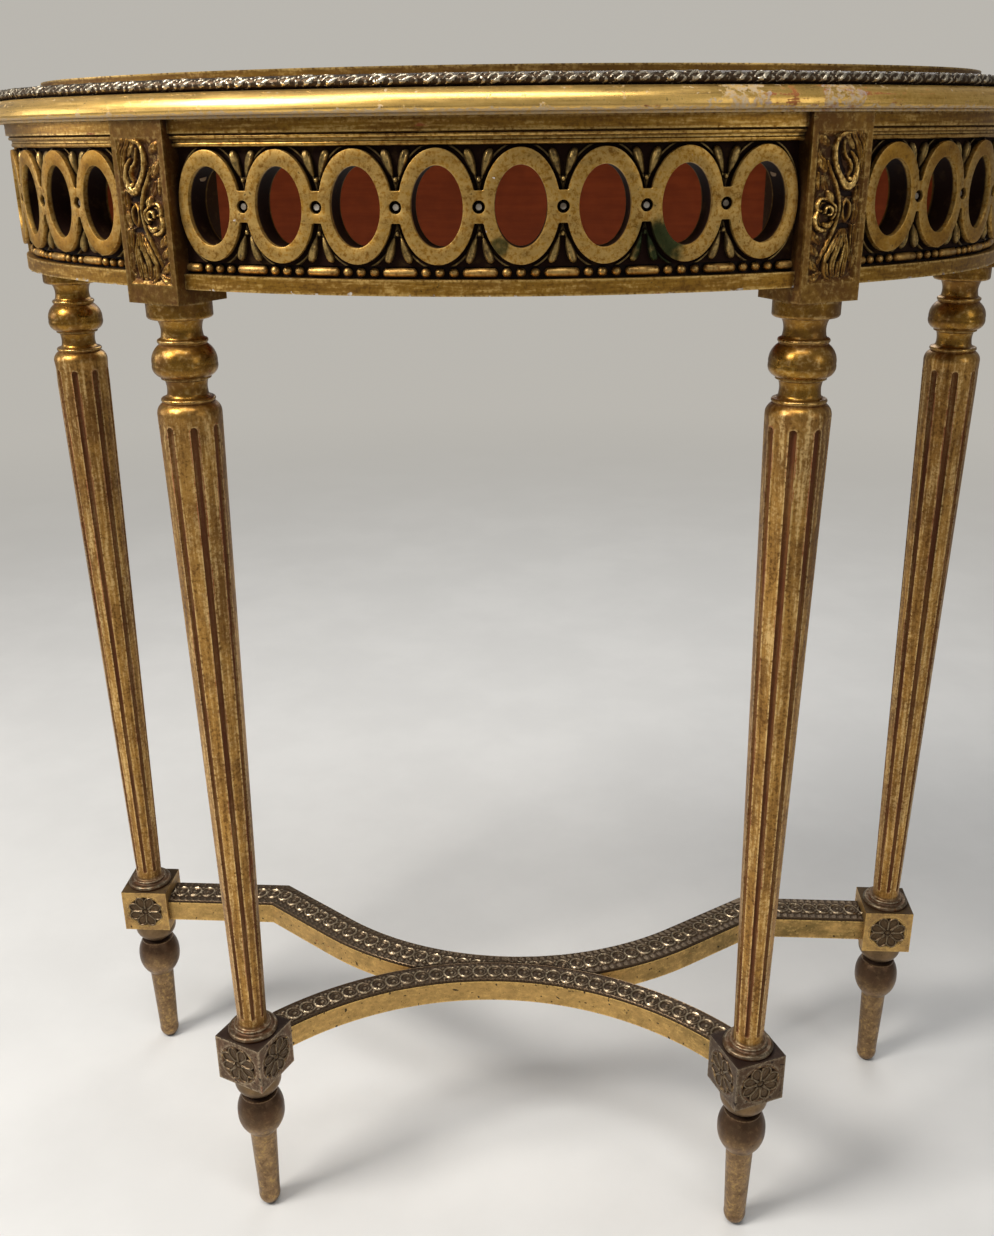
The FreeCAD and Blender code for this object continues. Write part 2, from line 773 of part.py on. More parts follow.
# ---------------------------------------------------------------- coin strips on the rails
def coin_strip(strip, places):
    coins = []
    for x, y in places:
        coins.append(Part.makeCone(coin_radius, coin_top_radius, coin_height, Vector(x, y, rail_top), UP))
    return only_solid(strip.fuse(coins))


def front_places():
    radius = front_rail_radius + front_rail_width / 2
    places = []
    for index in range(-front_coins_each_side, front_coins_each_side + 1):
        angle = index * coin_pitch / radius
        places.append((radius * math.sin(angle), front_rail_centre_y + radius * math.cos(angle)))
    return places


def rear_places():
    """Coins along the middle line of the rear rail, out from where the front rail covers it."""
    radius = rear_rail_back_radius + rear_rail_width / 2
    bow = radius * rear_turn
    slope = (kink_x - arc_end_x) / math.cos(rear_turn)
    straight = rear_axis_x - half_block - kink_x - rear_rail_width / 4 - coin_pitch / 2
    places = []
    s = first_rear_coin * coin_pitch
    while s < bow + slope + straight:
        if s < bow:
            x = radius * math.sin(s / radius)
            y = rear_rail_centre_y - radius * math.cos(s / radius)
        elif s < bow + slope:
            x = radius * math.sin(rear_turn) + (s - bow) * math.cos(rear_turn)
            y = rear_rail_centre_y - radius * math.cos(rear_turn) + (s - bow) * math.sin(rear_turn)
        else:
            x = kink_x + rear_rail_width / 4 + s - bow - slope
            y = kink_y - rear_rail_width / 2
        places += [(x, y), (-x, y)]
        s += coin_pitch
    return places


front_strip = front_bow(coin_strip_margin, front_rail_width - seam_gap, rail_body_top, rail_top)
front_coins = coin_strip(only_solid(front_strip.cut(all_lower)), front_places())
rear_strip = rear_bow(coin_strip_margin, rear_rail_width - coin_strip_margin, rail_body_top, rail_top)
rear_coins = coin_strip(only_solid(rear_strip.cut(seam).cut(all_lower)), rear_places())


# ---------------------------------------------------------------- rosettes on the stretcher blocks
def rosette():
    """Round plate with a ring of petals and an eye, seated in a stretcher block's medallion."""
    out = Vector(0, -1, 0)
    middle_z = (lower_block_top + lower_block_bottom) / 2
    face = Vector(0, medallion_depth - rosette_back - half_block, middle_z)

    def boss(cone, foot):
        return Part.makeCone(cone["base"], cone["tip"], cone["height"], foot, out)

    shapes = [boss(eye_cone, face)]
    for index in range(rosette_petals):
        petal = boss(petal_cone, face + UP * petal_circle)
        petal.rotate(face, out, index * 360 / rosette_petals)
        shapes.append(petal)
    return only_solid(medallion(rosette_radius, medallion_depth, rosette_back).fuse(shapes))


rosette_shape = rosette()
rosettes = {}
for leg, (x, y, _, lower_angle) in LEGS.items():
    group = [moved(rosette_shape, upright(x, y, lower_angle + turn)) for turn in rosette_turns[leg]]
    rosettes[leg] = Part.makeCompound(group)

# ---------------------------------------------------------------- export
os.makedirs("parts", exist_ok=True)
for key in ("front", "left", "right"):
    export("frieze_" + key, frieze[key])
    export("bead_strip_" + key, bead_strip[key])
    export("fascia_" + key, fascia[key])
    export("cornice_" + key, cornice[key])
    export("rim_" + key, rim[key])
    export("carved_band_" + key, band[key])
for key, shape in battens.items():
    export("top_batten_" + key, shape)
for leg, (x, y, _, _) in LEGS.items():
    export("leg_block_" + leg, upper_blocks[leg])
    export("pilaster_ornament_" + leg, ornaments[leg])
    export("leg_" + leg, moved(leg_shape, upright(x, y, flute_turns[leg])))
    export("stretcher_block_" + leg, lower_blocks[leg])
    export("rosettes_" + leg, rosettes[leg])
    export("foot_" + leg, moved(foot_shape, upright(x, y, 0)))
export("frieze_pins", Part.makeCompound(frieze_pins))
export("rim_back", rim_back)
export("top_board_left", top_left)
export("top_board_right", top_right)
export("top_screws", Part.makeCompound(screws))
export("glue_blocks", Part.makeCompound(glue_blocks))
export("back_rail", back_rail)
export("frieze_dowels", Part.makeCompound(dowels))
export("stretcher_front", front_rail)
export("stretcher_rear", rear_rail)
export("coin_strip_front", front_coins)
export("coin_strip_rear", rear_coins)
export("stretcher_dowels", Part.makeCompound(stretcher_dowels))
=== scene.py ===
import math

import bpy
import numpy as np
from mathutils import Matrix, Vector


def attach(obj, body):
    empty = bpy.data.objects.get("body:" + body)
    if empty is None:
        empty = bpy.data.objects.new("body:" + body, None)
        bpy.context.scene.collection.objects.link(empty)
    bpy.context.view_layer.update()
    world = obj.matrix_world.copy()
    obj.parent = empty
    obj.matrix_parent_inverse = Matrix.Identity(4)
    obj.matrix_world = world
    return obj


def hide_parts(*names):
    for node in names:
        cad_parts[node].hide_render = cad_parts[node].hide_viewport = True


bl_info = {
    "name": "Demilune Pier Table",
    "version": (1, 0, 0),
    "blender": (4, 5, 0),
    "location": "View3D > Sidebar > Pier Table",
    "description": "Dresses the packed pier table with its carving, gilding, floor, lights and camera",
    "category": "Object",
}

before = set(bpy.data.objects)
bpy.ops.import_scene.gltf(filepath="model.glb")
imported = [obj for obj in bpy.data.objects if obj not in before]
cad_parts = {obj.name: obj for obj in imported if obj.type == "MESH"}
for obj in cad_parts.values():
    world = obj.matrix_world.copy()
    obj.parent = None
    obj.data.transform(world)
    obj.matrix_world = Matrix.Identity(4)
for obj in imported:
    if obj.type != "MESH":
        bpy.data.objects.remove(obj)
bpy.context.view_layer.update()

MM = 0.001
LEGS = ("front_left", "front_right", "rear_left", "rear_right")
RUNS = ("front", "left", "right")
FLUTE_TURNS = {"front_left": 21.3, "front_right": 29.7, "rear_left": 4.0, "rear_right": -4.8}
FLUTE_BOTTOM, FLUTE_TOP = 196.0, 662.5
FLUTE_RADII = (1.5, 2.45)
SHAFT_RADII = (11.4, 20.4)
# centre in metres, reach and strength of the green stains
STAINS = (((0.0995, -0.124, 0.777), 0.0225, 0.95), ((0.0115, -0.1368, 0.778), 0.0078, 0.8))
RING_DEPTH, RING_FACE, SIDE_RING_FACE = 4.6, 0.8, 1.3
# how far the soft-edged rings reach over the solid ones, outside and into the hole
RING_OVER, RING_INTO_HOLE = 0.2, 0.15
TAB_WIDTH, TAB_HEIGHT, PIN_HOLE_RADIUS = 11, 17.4, 3.5
BEAD_STEP = 8.1


# ---------------------------------------------------------------- sizes and colours
def length(name, description, millimetres):
    return bpy.props.FloatProperty(name=name, description=description, default=millimetres * MM,
                                   unit="LENGTH", precision=4)


def angle(name, description, degrees):
    return bpy.props.FloatProperty(name=name, description=description, default=math.radians(degrees),
                                   subtype="ANGLE")


def colour(name, description, rgb):
    return bpy.props.FloatVectorProperty(name=name, description=description, default=rgb, size=3,
                                         min=0, max=1, subtype="COLOR")


class PierTableSizes(bpy.types.PropertyGroup):
    half_width: length("Half width", "Half the width of the frieze plan", 358)
    springing: length("Springing", "Where the side arcs turn into straight ends", 131)
    rise: length("Rise", "Depth of the frieze plan in front of the springing", 268)
    side_radius: length("Side radius", "Radius of the two side arcs", 215)
    frieze_middle: length("Frieze middle", "Height of the ovals' centres", 798.75)
    oval_width: length("Oval width", "Outer width of a ring", 43)
    oval_height: length("Oval height", "Outer height of a ring", 61.5)
    hole_width: length("Hole width", "Width of the piercing in a ring", 29.5)
    hole_height: length("Hole height", "Height of the piercing in a ring", 44)
    middle_pitch: length("Middle pitch", "Distance between the front ovals", 46.8)
    side_pitch: length("Side pitch", "Distance between the side ovals", 44.2)
    first_side_oval: length("First side oval", "Distance of the first side oval from the middle", 255.5)
    block_side: length("Block side", "Side of the square leg blocks", 42)
    pilaster_angle: angle("Pilaster angle", "Turn of the front leg blocks", 27.5)
    lower_block_angle: angle("Lower block angle", "Turn of the front stretcher blocks", 24)
    front_axis_x: length("Front leg X", "Front leg axes from the middle", 193.849)
    front_axis_y: length("Front leg Y", "Front leg axes in depth", -74.965)
    rear_axis_x: length("Rear leg X", "Rear leg axes from the middle", 343)
    rear_axis_y: length("Rear leg Y", "Rear leg axes in depth", 125)
    ornament_bottom: length("Ornament bottom", "Lower edge of the pilaster carving", 753)
    ornament_width: length("Ornament width", "Width of the pilaster carving", 34)
    ornament_height: length("Ornament height", "Height of the pilaster carving", 83)
    rail_top: length("Rail top", "Top of the stretcher rails", 168.3)
    coin_pitch: length("Coin pitch", "Distance between the coins on the rails", 12.6)
    front_rail_radius: length("Front rail radius", "Inner radius of the front stretcher rail", 248.5)
    front_rail_centre: length("Front rail centre", "Centre of the front rail's bow in depth", -240.4)
    rear_rail_radius: length("Rear rail radius", "Back radius of the rear rail's bow", 240)
    rear_rail_back: length("Rear rail back", "Back of the rear rail in the middle", 41)
    rear_rail_turn: angle("Rear rail turn", "Turn of the rear rail's bow", 36.5)
    rear_rail_kink: length("Rear rail kink", "Where the rear rail turns straight", 213)
    rear_rail_width: length("Rear rail width", "Width of the rear rail", 31)
    seam_width: length("Seam width", "Width of the front rail where the rails meet", 24)
    block_middle: length("Stretcher block middle", "Height of the rosettes' centres", 158.75)
    medallion_radius: length("Medallion radius", "Radius of a rosette's sunk round", 16.8)
    medallion_depth: length("Medallion depth", "Depth of a rosette's sunk round", 1.6)
    bead_middle: length("Bead middle", "Height of the bead-and-bar course", 763)
    bar_length: length("Bar length", "Length of one bar of the course", 20.4)
    bead_size: length("Bead size", "Thickness of the beads and bars", 5.5)


class PierTableColours(bpy.types.PropertyGroup):
    gold: colour("Gold", "Aged gold leaf of the legs", (0.46, 0.245, 0.062))
    deep_gold: colour("Deep gold", "Darkened leaf of frieze, mouldings and blocks", (0.345, 0.178, 0.027))
    block_gold: colour("Block gold", "Brown leaf of the leg blocks", (0.255, 0.132, 0.028))
    pale_gold: colour("Pale gold", "Cleaner leaf of the rails", (0.54, 0.335, 0.115))
    rim_gold: colour("Rim gold", "Burnished leaf of the rim", (0.80, 0.50, 0.135))
    # Bright gold and leg glint are mixed onto edges, fillets and high points: rubbed leaf, and also painted
    # highlight
    bright_gold: colour("Bright gold", "Rubbed high points of the leaf", (0.88, 0.59, 0.20))
    leg_glint: colour("Leg glint", "Rubbed high points of the legs", (0.92, 0.65, 0.28))
    olive: colour("Olive", "Tarnished gold", (0.22, 0.145, 0.048))
    umber: colour("Umber", "Brown toning over the gold", (0.105, 0.043, 0.013))
    bronze: colour("Bronze", "Bronzed carving", (0.075, 0.048, 0.027))
    # Pale bronze, silvery and silvery glint colour the high points of the carving: rubbed leaf, and also
    # painted highlight
    pale_bronze: colour("Pale bronze", "Rubbed high points of the bronzed carving", (0.54, 0.43, 0.28))
    silvery: colour("Silvery", "High points of the leaf band", (0.78, 0.68, 0.50))
    silvery_glint: colour("Silvery glint", "Rubbed high points of the leaf band", (0.85, 0.76, 0.58))
    block_bronze: colour("Block bronze", "Toned leaf of the stretcher blocks", (0.145, 0.080, 0.045))
    foot_gold: colour("Foot gold", "Worn leaf of the feet", (0.36, 0.23, 0.115))
    bole: colour("Bole", "Red clay under the leaf", (0.27, 0.066, 0.024))
    # Dark brown mixed in by the hollow masks: real dirt and specks, and also painted shade in crevices,
    # recesses, walls and grooves
    grime: colour("Grime", "Old dirt in the hollows", (0.013, 0.005, 0.003))
    # Mixed over the whole flute: red-brown bole, and also painted shade in the grooves
    flute_shade: colour("Flute shade", "Red-brown in the flutes", (0.105, 0.032, 0.010))
    gesso: colour("Gesso", "Grey-white ground where the leaf is lost", (0.46, 0.41, 0.35))
    back_rail: colour("Back rail", "Red-brown paint inside the frieze", (0.32, 0.056, 0.012))
    bare_wood: colour("Bare wood", "Hidden softwood", (0.30, 0.17, 0.08))
    stain: colour("Stain", "Green verdigris spot on the frieze", (0.016, 0.030, 0.012))
    floor: colour("Floor", "Pale floor", (0.69, 0.68, 0.655))
    backdrop: colour("Backdrop", "Colour behind the floor", (0.49, 0.47, 0.43))


def mm(name):
    return getattr(bpy.context.scene.pier_table_sizes, name) / MM


def turn_of(name):
    return getattr(bpy.context.scene.pier_table_sizes, name)


def rgb(name, share=None):
    """A colour of the table, made darker or lighter by a share."""
    colour = tuple(getattr(bpy.context.scene.pier_table_colours, name))
    return colour if share is None else tuple(share * part for part in colour)


def side_of(leg):
    return -1 if "left" in leg else 1


# ---------------------------------------------------------------- the frieze plan
def plan_facts():
    half, side, rise = mm("half_width"), mm("side_radius"), mm("rise")
    front = (half**2 + rise**2 - 2 * half * side) / (2 * (rise - side))
    centre_y = mm("springing") + front - rise
    side_x = half - side
    return front, centre_y, side_x, math.atan2(side_x, centre_y - mm("springing"))


def on_plan(s, out):
    """Plan x and y in mm of points at arc length s from the middle, moved outwards."""
    front, centre_y, side_x, tangent = plan_facts()
    side = mm("side_radius")
    s = np.asarray(s, float)
    far = np.abs(s)
    front_length = front * tangent
    side_length = side * (math.pi / 2 - tangent)
    on_front = far <= front_length
    turn = np.where(on_front, far / front, tangent + np.clip(far - front_length, 0, side_length) / side)
    radius = np.where(on_front, front, side) + out
    x = np.where(on_front, 0, side_x) + radius * np.sin(turn)
    y = np.where(on_front, centre_y, mm("springing")) - radius * np.cos(turn)
    y = y + np.maximum(far - front_length - side_length, 0)
    return np.where(s < 0, -x, x), y


def placed_on_plan(s, z=0.0, out=0.0):
    """Takes points modelled flat (x along, y up, z outwards, in mm) to a place on the frieze."""
    def shape(points):
        x, y = on_plan(s + points[:, 0], out + points[:, 2])
        return np.column_stack([x, y, z + points[:, 1]])
    return shape


def leg_axis(leg):
    where = leg.split("_")[0]
    return side_of(leg) * mm(where + "_axis_x"), mm(where + "_axis_y")


def leg_place(leg, turn):
    """Takes points modelled on a leg block's outer face (x along, y up, z outwards) round a leg's axis."""
    axis_x, axis_y = leg_axis(leg)

    def shape(points):
        out = mm("block_side") / 2 + points[:, 2]
        x = axis_x + points[:, 0] * math.cos(turn) + out * math.sin(turn)
        y = axis_y + points[:, 0] * math.sin(turn) - out * math.cos(turn)
        return np.column_stack([x, y, points[:, 1]])
    return shape


# ---------------------------------------------------------------- mesh helpers
ALL = ("select_all", {"action": "SELECT"})


def clear_selection():
    if bpy.context.mode != "OBJECT":
        bpy.ops.object.mode_set(mode="OBJECT")
    bpy.ops.object.select_all(action="DESELECT")


def take(piece):
    """Makes a piece the only one selected."""
    clear_selection()
    piece.select_set(True)
    bpy.context.view_layer.objects.active = piece


def primitive(kind, name, **settings):
    """New mesh object from one of the mesh primitives."""
    clear_selection()
    getattr(bpy.ops.mesh, "primitive_" + kind + "_add")(**settings)
    return named(name)


def named(name):
    piece = bpy.context.object
    piece.name = piece.data.name = name
    return piece


def edit(piece, *steps):
    """Runs mesh operators, each with its settings, in edit mode; all is selected at the start."""
    take(piece)
    bpy.ops.object.mode_set(mode="EDIT")
    for operator, settings in (ALL, *steps):
        getattr(bpy.ops.mesh, operator)(**settings)
    bpy.ops.object.mode_set(mode="OBJECT")


def points_of(piece):
    flat = np.empty(len(piece.data.vertices) * 3)
    piece.data.vertices.foreach_get("co", flat)
    return flat.reshape(-1, 3)


def set_points(piece, *points):
    """Moves a piece's points, given as rows or as columns x, y and z."""
    rows = points[0] if len(points) == 1 else np.column_stack(points)
    piece.data.vertices.foreach_set("co", np.asarray(rows, float).ravel())
    piece.data.update()


def store(piece, name, values):
    """Keeps one number per vertex for the piece's material."""
    attribute = piece.data.attributes.get(name) or piece.data.attributes.new(name, "FLOAT", "POINT")
    attribute.data.foreach_set("value", np.asarray(values, np.float32))


def modifier(piece, kind, **settings):
    take(piece)
    made = piece.modifiers.new(kind.title(), kind)
    for key, value in settings.items():
        setattr(made, key, value)
    bpy.ops.object.modifier_apply(modifier=made.name)


def cut_or_fuse(piece, tools, operation):
    """Joins or cuts a piece with others, which are used up."""
    tool = joined("tool", tools)
    modifier(piece, "BOOLEAN", operation=operation, object=tool, solver="EXACT")
    bpy.data.objects.remove(tool)


def joined(name, parts):
    clear_selection()
    for part in parts:
        part.select_set(True)
    bpy.context.view_layer.objects.active = parts[0]
    if len(parts) > 1:
        bpy.ops.object.join()
    return named(name)


def copies(master, name, shapes):
    """One piece from copies of a master, each placed by a function of its points."""
    made = []
    for shape in shapes:
        copy = master.copy()
        copy.data = master.data.copy()
        bpy.context.collection.objects.link(copy)
        set_points(copy, shape(points_of(copy)))
        made.append(copy)
    bpy.data.objects.remove(master)
    return joined(name, made)


def slab(name, across, along):
    """Unit grid with a skirt and a like grid behind it; also its points and which of them are in front."""
    piece = primitive("grid", name, x_subdivisions=across, y_subdivisions=along, size=1)
    edit(piece, ("extrude_region_move", {"TRANSFORM_OT_translate": {"value": (0, 0, -1)}}))
    points = points_of(piece)
    return piece, points[:, 0] + 0.5, points[:, 1] + 0.5, points[:, 2] > -0.5


def finish_piece(piece, finish, stands_for=(), smooth=40):
    """Brings a piece in millimetres to metres, shades it and parents it to the root body."""
    set_points(piece, points_of(piece) * MM)
    edit(piece, ("remove_doubles", {"threshold": 0.00002}), ("normals_make_consistent", {"inside": False}))
    bpy.ops.object.shade_smooth_by_angle(angle=math.radians(smooth))
    piece.data.materials.clear()
    piece.data.materials.append(material(finish))
    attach(piece, "root")
    if stands_for:
        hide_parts(*stands_for)


# ---------------------------------------------------------------- carved relief
def dome(ratio):
    """Height of a round form of height one, ratio away from its middle."""
    return np.sqrt(np.clip(1 - ratio**2, 0, 1))


def bell(ratio):
    return np.exp(-ratio**2)


def smooth_path(points, steps=7):
    """Rounds a list of (x, z, half width, height) points with a spline through them."""
    p = np.array(points, float)
    ends = np.vstack([2 * p[0] - p[1], p, 2 * p[-1] - p[-2]])
    path = []
    for i in range(1, len(ends) - 2):
        a, b, c, d = ends[i - 1:i + 3]
        for t in np.linspace(0, 1, steps, endpoint=False):
            path.append(0.5 * (2 * b + (c - a) * t + (2 * a - 5 * b + 4 * c - d) * t**2
                               + (3 * b - a - 3 * c + d) * t**3))
    path = np.array([*path, p[-1]])
    path[:, 2:] = np.maximum(path[:, 2:], 0.05)
    return path


def carve(x, z, strokes, ground=0.0, spread=1.0):
    """Height of carved work at (x, z): the highest of a set of rounded, veined strokes."""
    level = np.full(len(x), float(ground))
    for points, vein in strokes:
        path = smooth_path(points)
        path[:, 2] *= spread
        a, b = path[:-1], path[1:]
        step = b[:, :2] - a[:, :2]
        size = np.maximum((step**2).sum(1), 1e-9)
        reach = path[:, 2].max() + 0.1
        near = ((x > path[:, 0].min() - reach) & (x < path[:, 0].max() + reach)
                & (z > path[:, 1].min() - reach) & (z < path[:, 1].max() + reach))
        if not near.any():
            continue
        px, pz = x[near][:, None] - a[:, 0], z[near][:, None] - a[:, 1]
        t = np.clip((px * step[:, 0] + pz * step[:, 1]) / size, 0, 1)
        away = np.hypot(px - t * step[:, 0], pz - t * step[:, 1])
        wide = a[:, 2] + t * (b[:, 2] - a[:, 2])
        domes = (a[:, 3] + t * (b[:, 3] - a[:, 3])) * dome(away / wide)
        best = domes.argmax(1)
        rows = np.arange(len(best))
        top = domes[rows, best]
        if vein:
            top = top - vein * bell(away[rows, best] / wide[rows, best] / 0.3) * (top > 0)
        level[near] = np.maximum(level[near], top)
    return level


def disc(x, z, radius, height):
    return [(x, z, radius, height), (x + 0.01, z, radius, height)], 0


def flower(inner, outer, spread, height, petals):
    """Flower of petals with two raised outlines each, round an eye, as strokes about the origin."""
    strokes = [disc(0, 0, inner * 0.95, height * 0.85), disc(0, 0, inner * 0.45, height * 1.05)]
    long = outer - inner
    for index in range(petals):
        turn = (index + 0.5) * 2 * math.pi / petals
        out_x, out_z = math.sin(turn), math.cos(turn)

        def at(along, aside):
            return out_x * along + out_z * aside, out_z * along - out_x * aside

        middle = ((inner * 0.9, 0.36, 0.50), (inner + 0.55 * long, 0.95, 0.84), (outer * 0.97, 0.40, 0.45))
        strokes.append(([(*at(r, 0), w * spread, h * height) for r, w, h in middle], 0.5))
        outline = ((inner, 0.16), (inner + 0.30 * long, 0.62), (inner + 0.62 * long, 0.92),
                   (inner + 0.86 * long, 0.60), (outer, 0.04))
        for side in (-1, 1):
            strokes.append(([(*at(r, side * w * spread), 0.85, height) for r, w in outline], 0))
    return strokes


# ---------------------------------------------------------------- material helpers
class Value:
    """Output of a node, to be reckoned with like a number."""

    def __init__(self, graph, socket):
        self.graph, self.socket = graph, socket

    def __add__(self, other):
        return self.graph.math("ADD", self, other)

    def __sub__(self, other):
        return self.graph.math("SUBTRACT", self, other)

    def __rsub__(self, other):
        return self.graph.math("SUBTRACT", other, self)

    def __mul__(self, other):
        return self.graph.math("MULTIPLY", self, other)

    def __truediv__(self, other):
        return self.graph.math("DIVIDE", self, other)

    __radd__, __rmul__ = __add__, __mul__

    def clamped(self):
        self.socket.node.use_clamp = True
        return self

    def most(self, other):
        return self.graph.math("MAXIMUM", self, other)

    def ramp(self, low, high):
        """Smooth step from 0 at low to 1 at high."""
        return self.graph.node("MapRange", {0: self, 1: low, 2: high}, interpolation_type="SMOOTHSTEP")

    def mix(self, a, b):
        """Colour a where this is 0, b where it is 1."""
        a, b = ((*c, 1) if isinstance(c, tuple) else c for c in (a, b))
        return self.graph.node("Mix", {0: self, 6: a, 7: b}, 2, data_type="RGBA")

    def blend(self, a, b):
        """Number a where this is 0, b where it is 1."""
        return self.graph.node("Mix", {0: self, 2: a, 3: b}, data_type="FLOAT")


class Graph:
    """Short hands for drawing one node tree."""

    def __init__(self, tree):
        self.tree = tree

    def feed(self, socket, value):
        if isinstance(value, Value):
            self.tree.links.new(value.socket, socket)
        else:
            socket.default_value = value

    def node(self, kind, inputs=None, output=0, **settings):
        """New shader node; gives the one output that is asked for, or all of them for None."""
        made = self.tree.nodes.new("ShaderNode" + kind)
        for key, value in settings.items():
            setattr(made, key, value)
        for key, value in (inputs or {}).items():
            self.feed(made.inputs[key], value)
        if output is None:
            return {socket.name: Value(self, socket) for socket in made.outputs}
        return Value(self, made.outputs[output])

    def math(self, operation, a, b=0.0):
        return self.node("Math", {0: a, 1: b}, operation=operation)

    def place(self):
        return self.node("TexCoord", output="Object")

    def millimetres(self):
        """Object coordinates x, y and z in millimetres."""
        apart = self.node("SeparateXYZ", {0: self.place()}, None)
        return [apart[axis] * (1 / MM) for axis in "XYZ"]

    def noise(self, vector, scale, detail=3.0, rough=0.55):
        inputs = {"Vector": vector, "Scale": scale, "Detail": detail, "Roughness": rough}
        return self.node("TexNoise", inputs, "Fac")

    def stretched(self, vector, scale):
        return self.node("Mapping", {"Vector": vector, "Scale": scale})

    def attribute(self, name):
        return self.node("Attribute", output="Fac", attribute_name=name, attribute_type="GEOMETRY")

    def corner(self, reach, **settings):
        """How open the surroundings are, within a reach."""
        return self.node("AmbientOcclusion", {"Distance": reach}, "AO", samples=5, **settings)

    def depth(self):
        return self.node("Group", node_tree=shared("Plan Depth", plan_depth_group))


def shared(name, build):
    """Node group that is built once."""
    return bpy.data.node_groups.get(name) or build(name)


def group(name, inputs, outputs):
    """New node group; inputs and outputs are the labels of each kind of socket."""
    tree = bpy.data.node_groups.new(name, "ShaderNodeTree")
    for way, sockets in (("INPUT", inputs), ("OUTPUT", outputs)):
        for kind, labels in sockets.items():
            for label in labels.split():
                tree.interface.new_socket(label, in_out=way, socket_type="NodeSocket" + kind)
    graph = Graph(tree)
    given = {socket.name: Value(graph, socket) for socket in tree.nodes.new("NodeGroupInput").outputs}
    return graph, given, tree.nodes.new("NodeGroupOutput").inputs


def old_leaf_group(name):
    """Old gold leaf: toning in clouds, streaks, bole and specks where it is rubbed, dirt and painted shade
    in hollows.
    """
    graph, given, made = group(
        name, {"Color": "Gold Bright Tarnish Bole Grime Gesso", "Vector": "Stretch",
               "Float": "Tarnished Rubbed Chips Hollow Edge Lost Gloss Contrast"},
        {"Color": "Color", "Float": "Roughness Metallic Height"})
    place = graph.place()
    drawn = graph.stretched(place, given["Stretch"])
    clouds = graph.noise(place, 21, 4, 0.6)
    blots = graph.noise(place, 92, 5, 0.62)
    grain = graph.noise(place, 430, 4, 0.68)
    fine = graph.noise(place, 1500, 2, 0.6)
    streaks = graph.noise(drawn, 260, 4, 0.62)
    long_streaks = graph.noise(drawn, 85, 4, 0.6)

    mottle = clouds * 0.30 + blots * 0.30 + long_streaks * 0.40
    tarnish = (mottle.ramp(0.40, 0.60) * given["Tarnished"]).clamped()
    tone = tarnish.mix(given["Gold"], given["Tarnish"])
    shine = (streaks * 0.6 + grain * 0.4).ramp(0.50, 0.64) * 0.50
    tone = (shine * given["Contrast"]).clamped().mix(tone, given["Bright"])
    shade = (streaks * 0.5 + grain * 0.5).ramp(0.50, 0.37) * 0.60
    tone = (shade * given["Contrast"]).clamped().mix(tone, given["Tarnish"])

    # Edges lightened towards the bright colour: rubbed leaf, and also a painted highlight
    worn = (given["Edge"] * grain.ramp(0.36, 0.56)).clamped()
    tone = (worn * 0.8).mix(tone, given["Bright"])
    rub_edge = 0.70 - given["Rubbed"] * 0.22
    rub_field = blots * 0.35 + long_streaks * 0.25 + streaks * 0.40 + given["Edge"] * 0.045
    rub = rub_field.ramp(rub_edge, rub_edge + 0.05)
    tone = (rub * 0.85).mix(tone, given["Bole"])

    specks = grain.ramp(0.62, 0.69) * blots.ramp(0.40, 0.58) * 0.8
    tone = specks.most(fine.ramp(0.66, 0.72) * 0.55).mix(tone, given["Grime"])
    chip_edge = 0.80 - given["Chips"] * 0.20
    chips = graph.noise(place, 175).ramp(chip_edge, chip_edge + 0.012)
    bare = chips.most(given["Lost"])
    tone = bare.mix(tone, grain.ramp(0.40, 0.64).mix(given["Gesso"], given["Tarnish"]))
    # The hollow mask darkens towards the dirt-and-shade colour: painted shade where it comes from occlusion
    # or depth, dirt where it comes from tops and worm holes
    hollow = (given["Hollow"] * blots.blend(1.25, 0.80)).clamped()
    tone = hollow.mix(tone, given["Grime"])

    dull = hollow.most(bare).most(rub * 0.7)
    rough = 0.66 - given["Gloss"] * 0.42 + tarnish * 0.12 + (streaks - 0.5) * 0.30 - worn * 0.08
    metal = (1.0 - dull * 0.95).clamped() * tarnish.blend(0.95, 0.72)
    height = blots * 0.45 + grain * 0.30 + streaks * 0.20 + fine * 0.05 - rub.most(bare) * 0.10
    for socket, value in zip(made, (tone, dull.blend(rough, 0.66), metal, height)):
        graph.feed(socket, value)
    return graph.tree


def plan_depth_group(name):
    """Distance in millimetres outwards from the frieze plan."""
    front, centre_y, side_x, tangent = plan_facts()
    graph, _, made = group(name, {}, {"Float": "Depth"})
    x, y, _ = graph.millimetres()
    x = graph.math("ABSOLUTE", x)

    def from_centre(cx, cy, radius):
        dx, dy = x - cx, y - cy
        return graph.math("SQRT", dx * dx + dy * dy) - radius

    is_front = graph.math("LESS_THAN", x, (centre_y - y) * math.tan(tangent))
    is_straight = graph.math("GREATER_THAN", y, mm("springing"))
    on_side = from_centre(side_x, mm("springing"), mm("side_radius"))
    side = is_straight.blend(on_side, x - mm("half_width"))
    graph.feed(made[0], is_front.blend(side, from_centre(0.0, centre_y, front)))
    return graph.tree


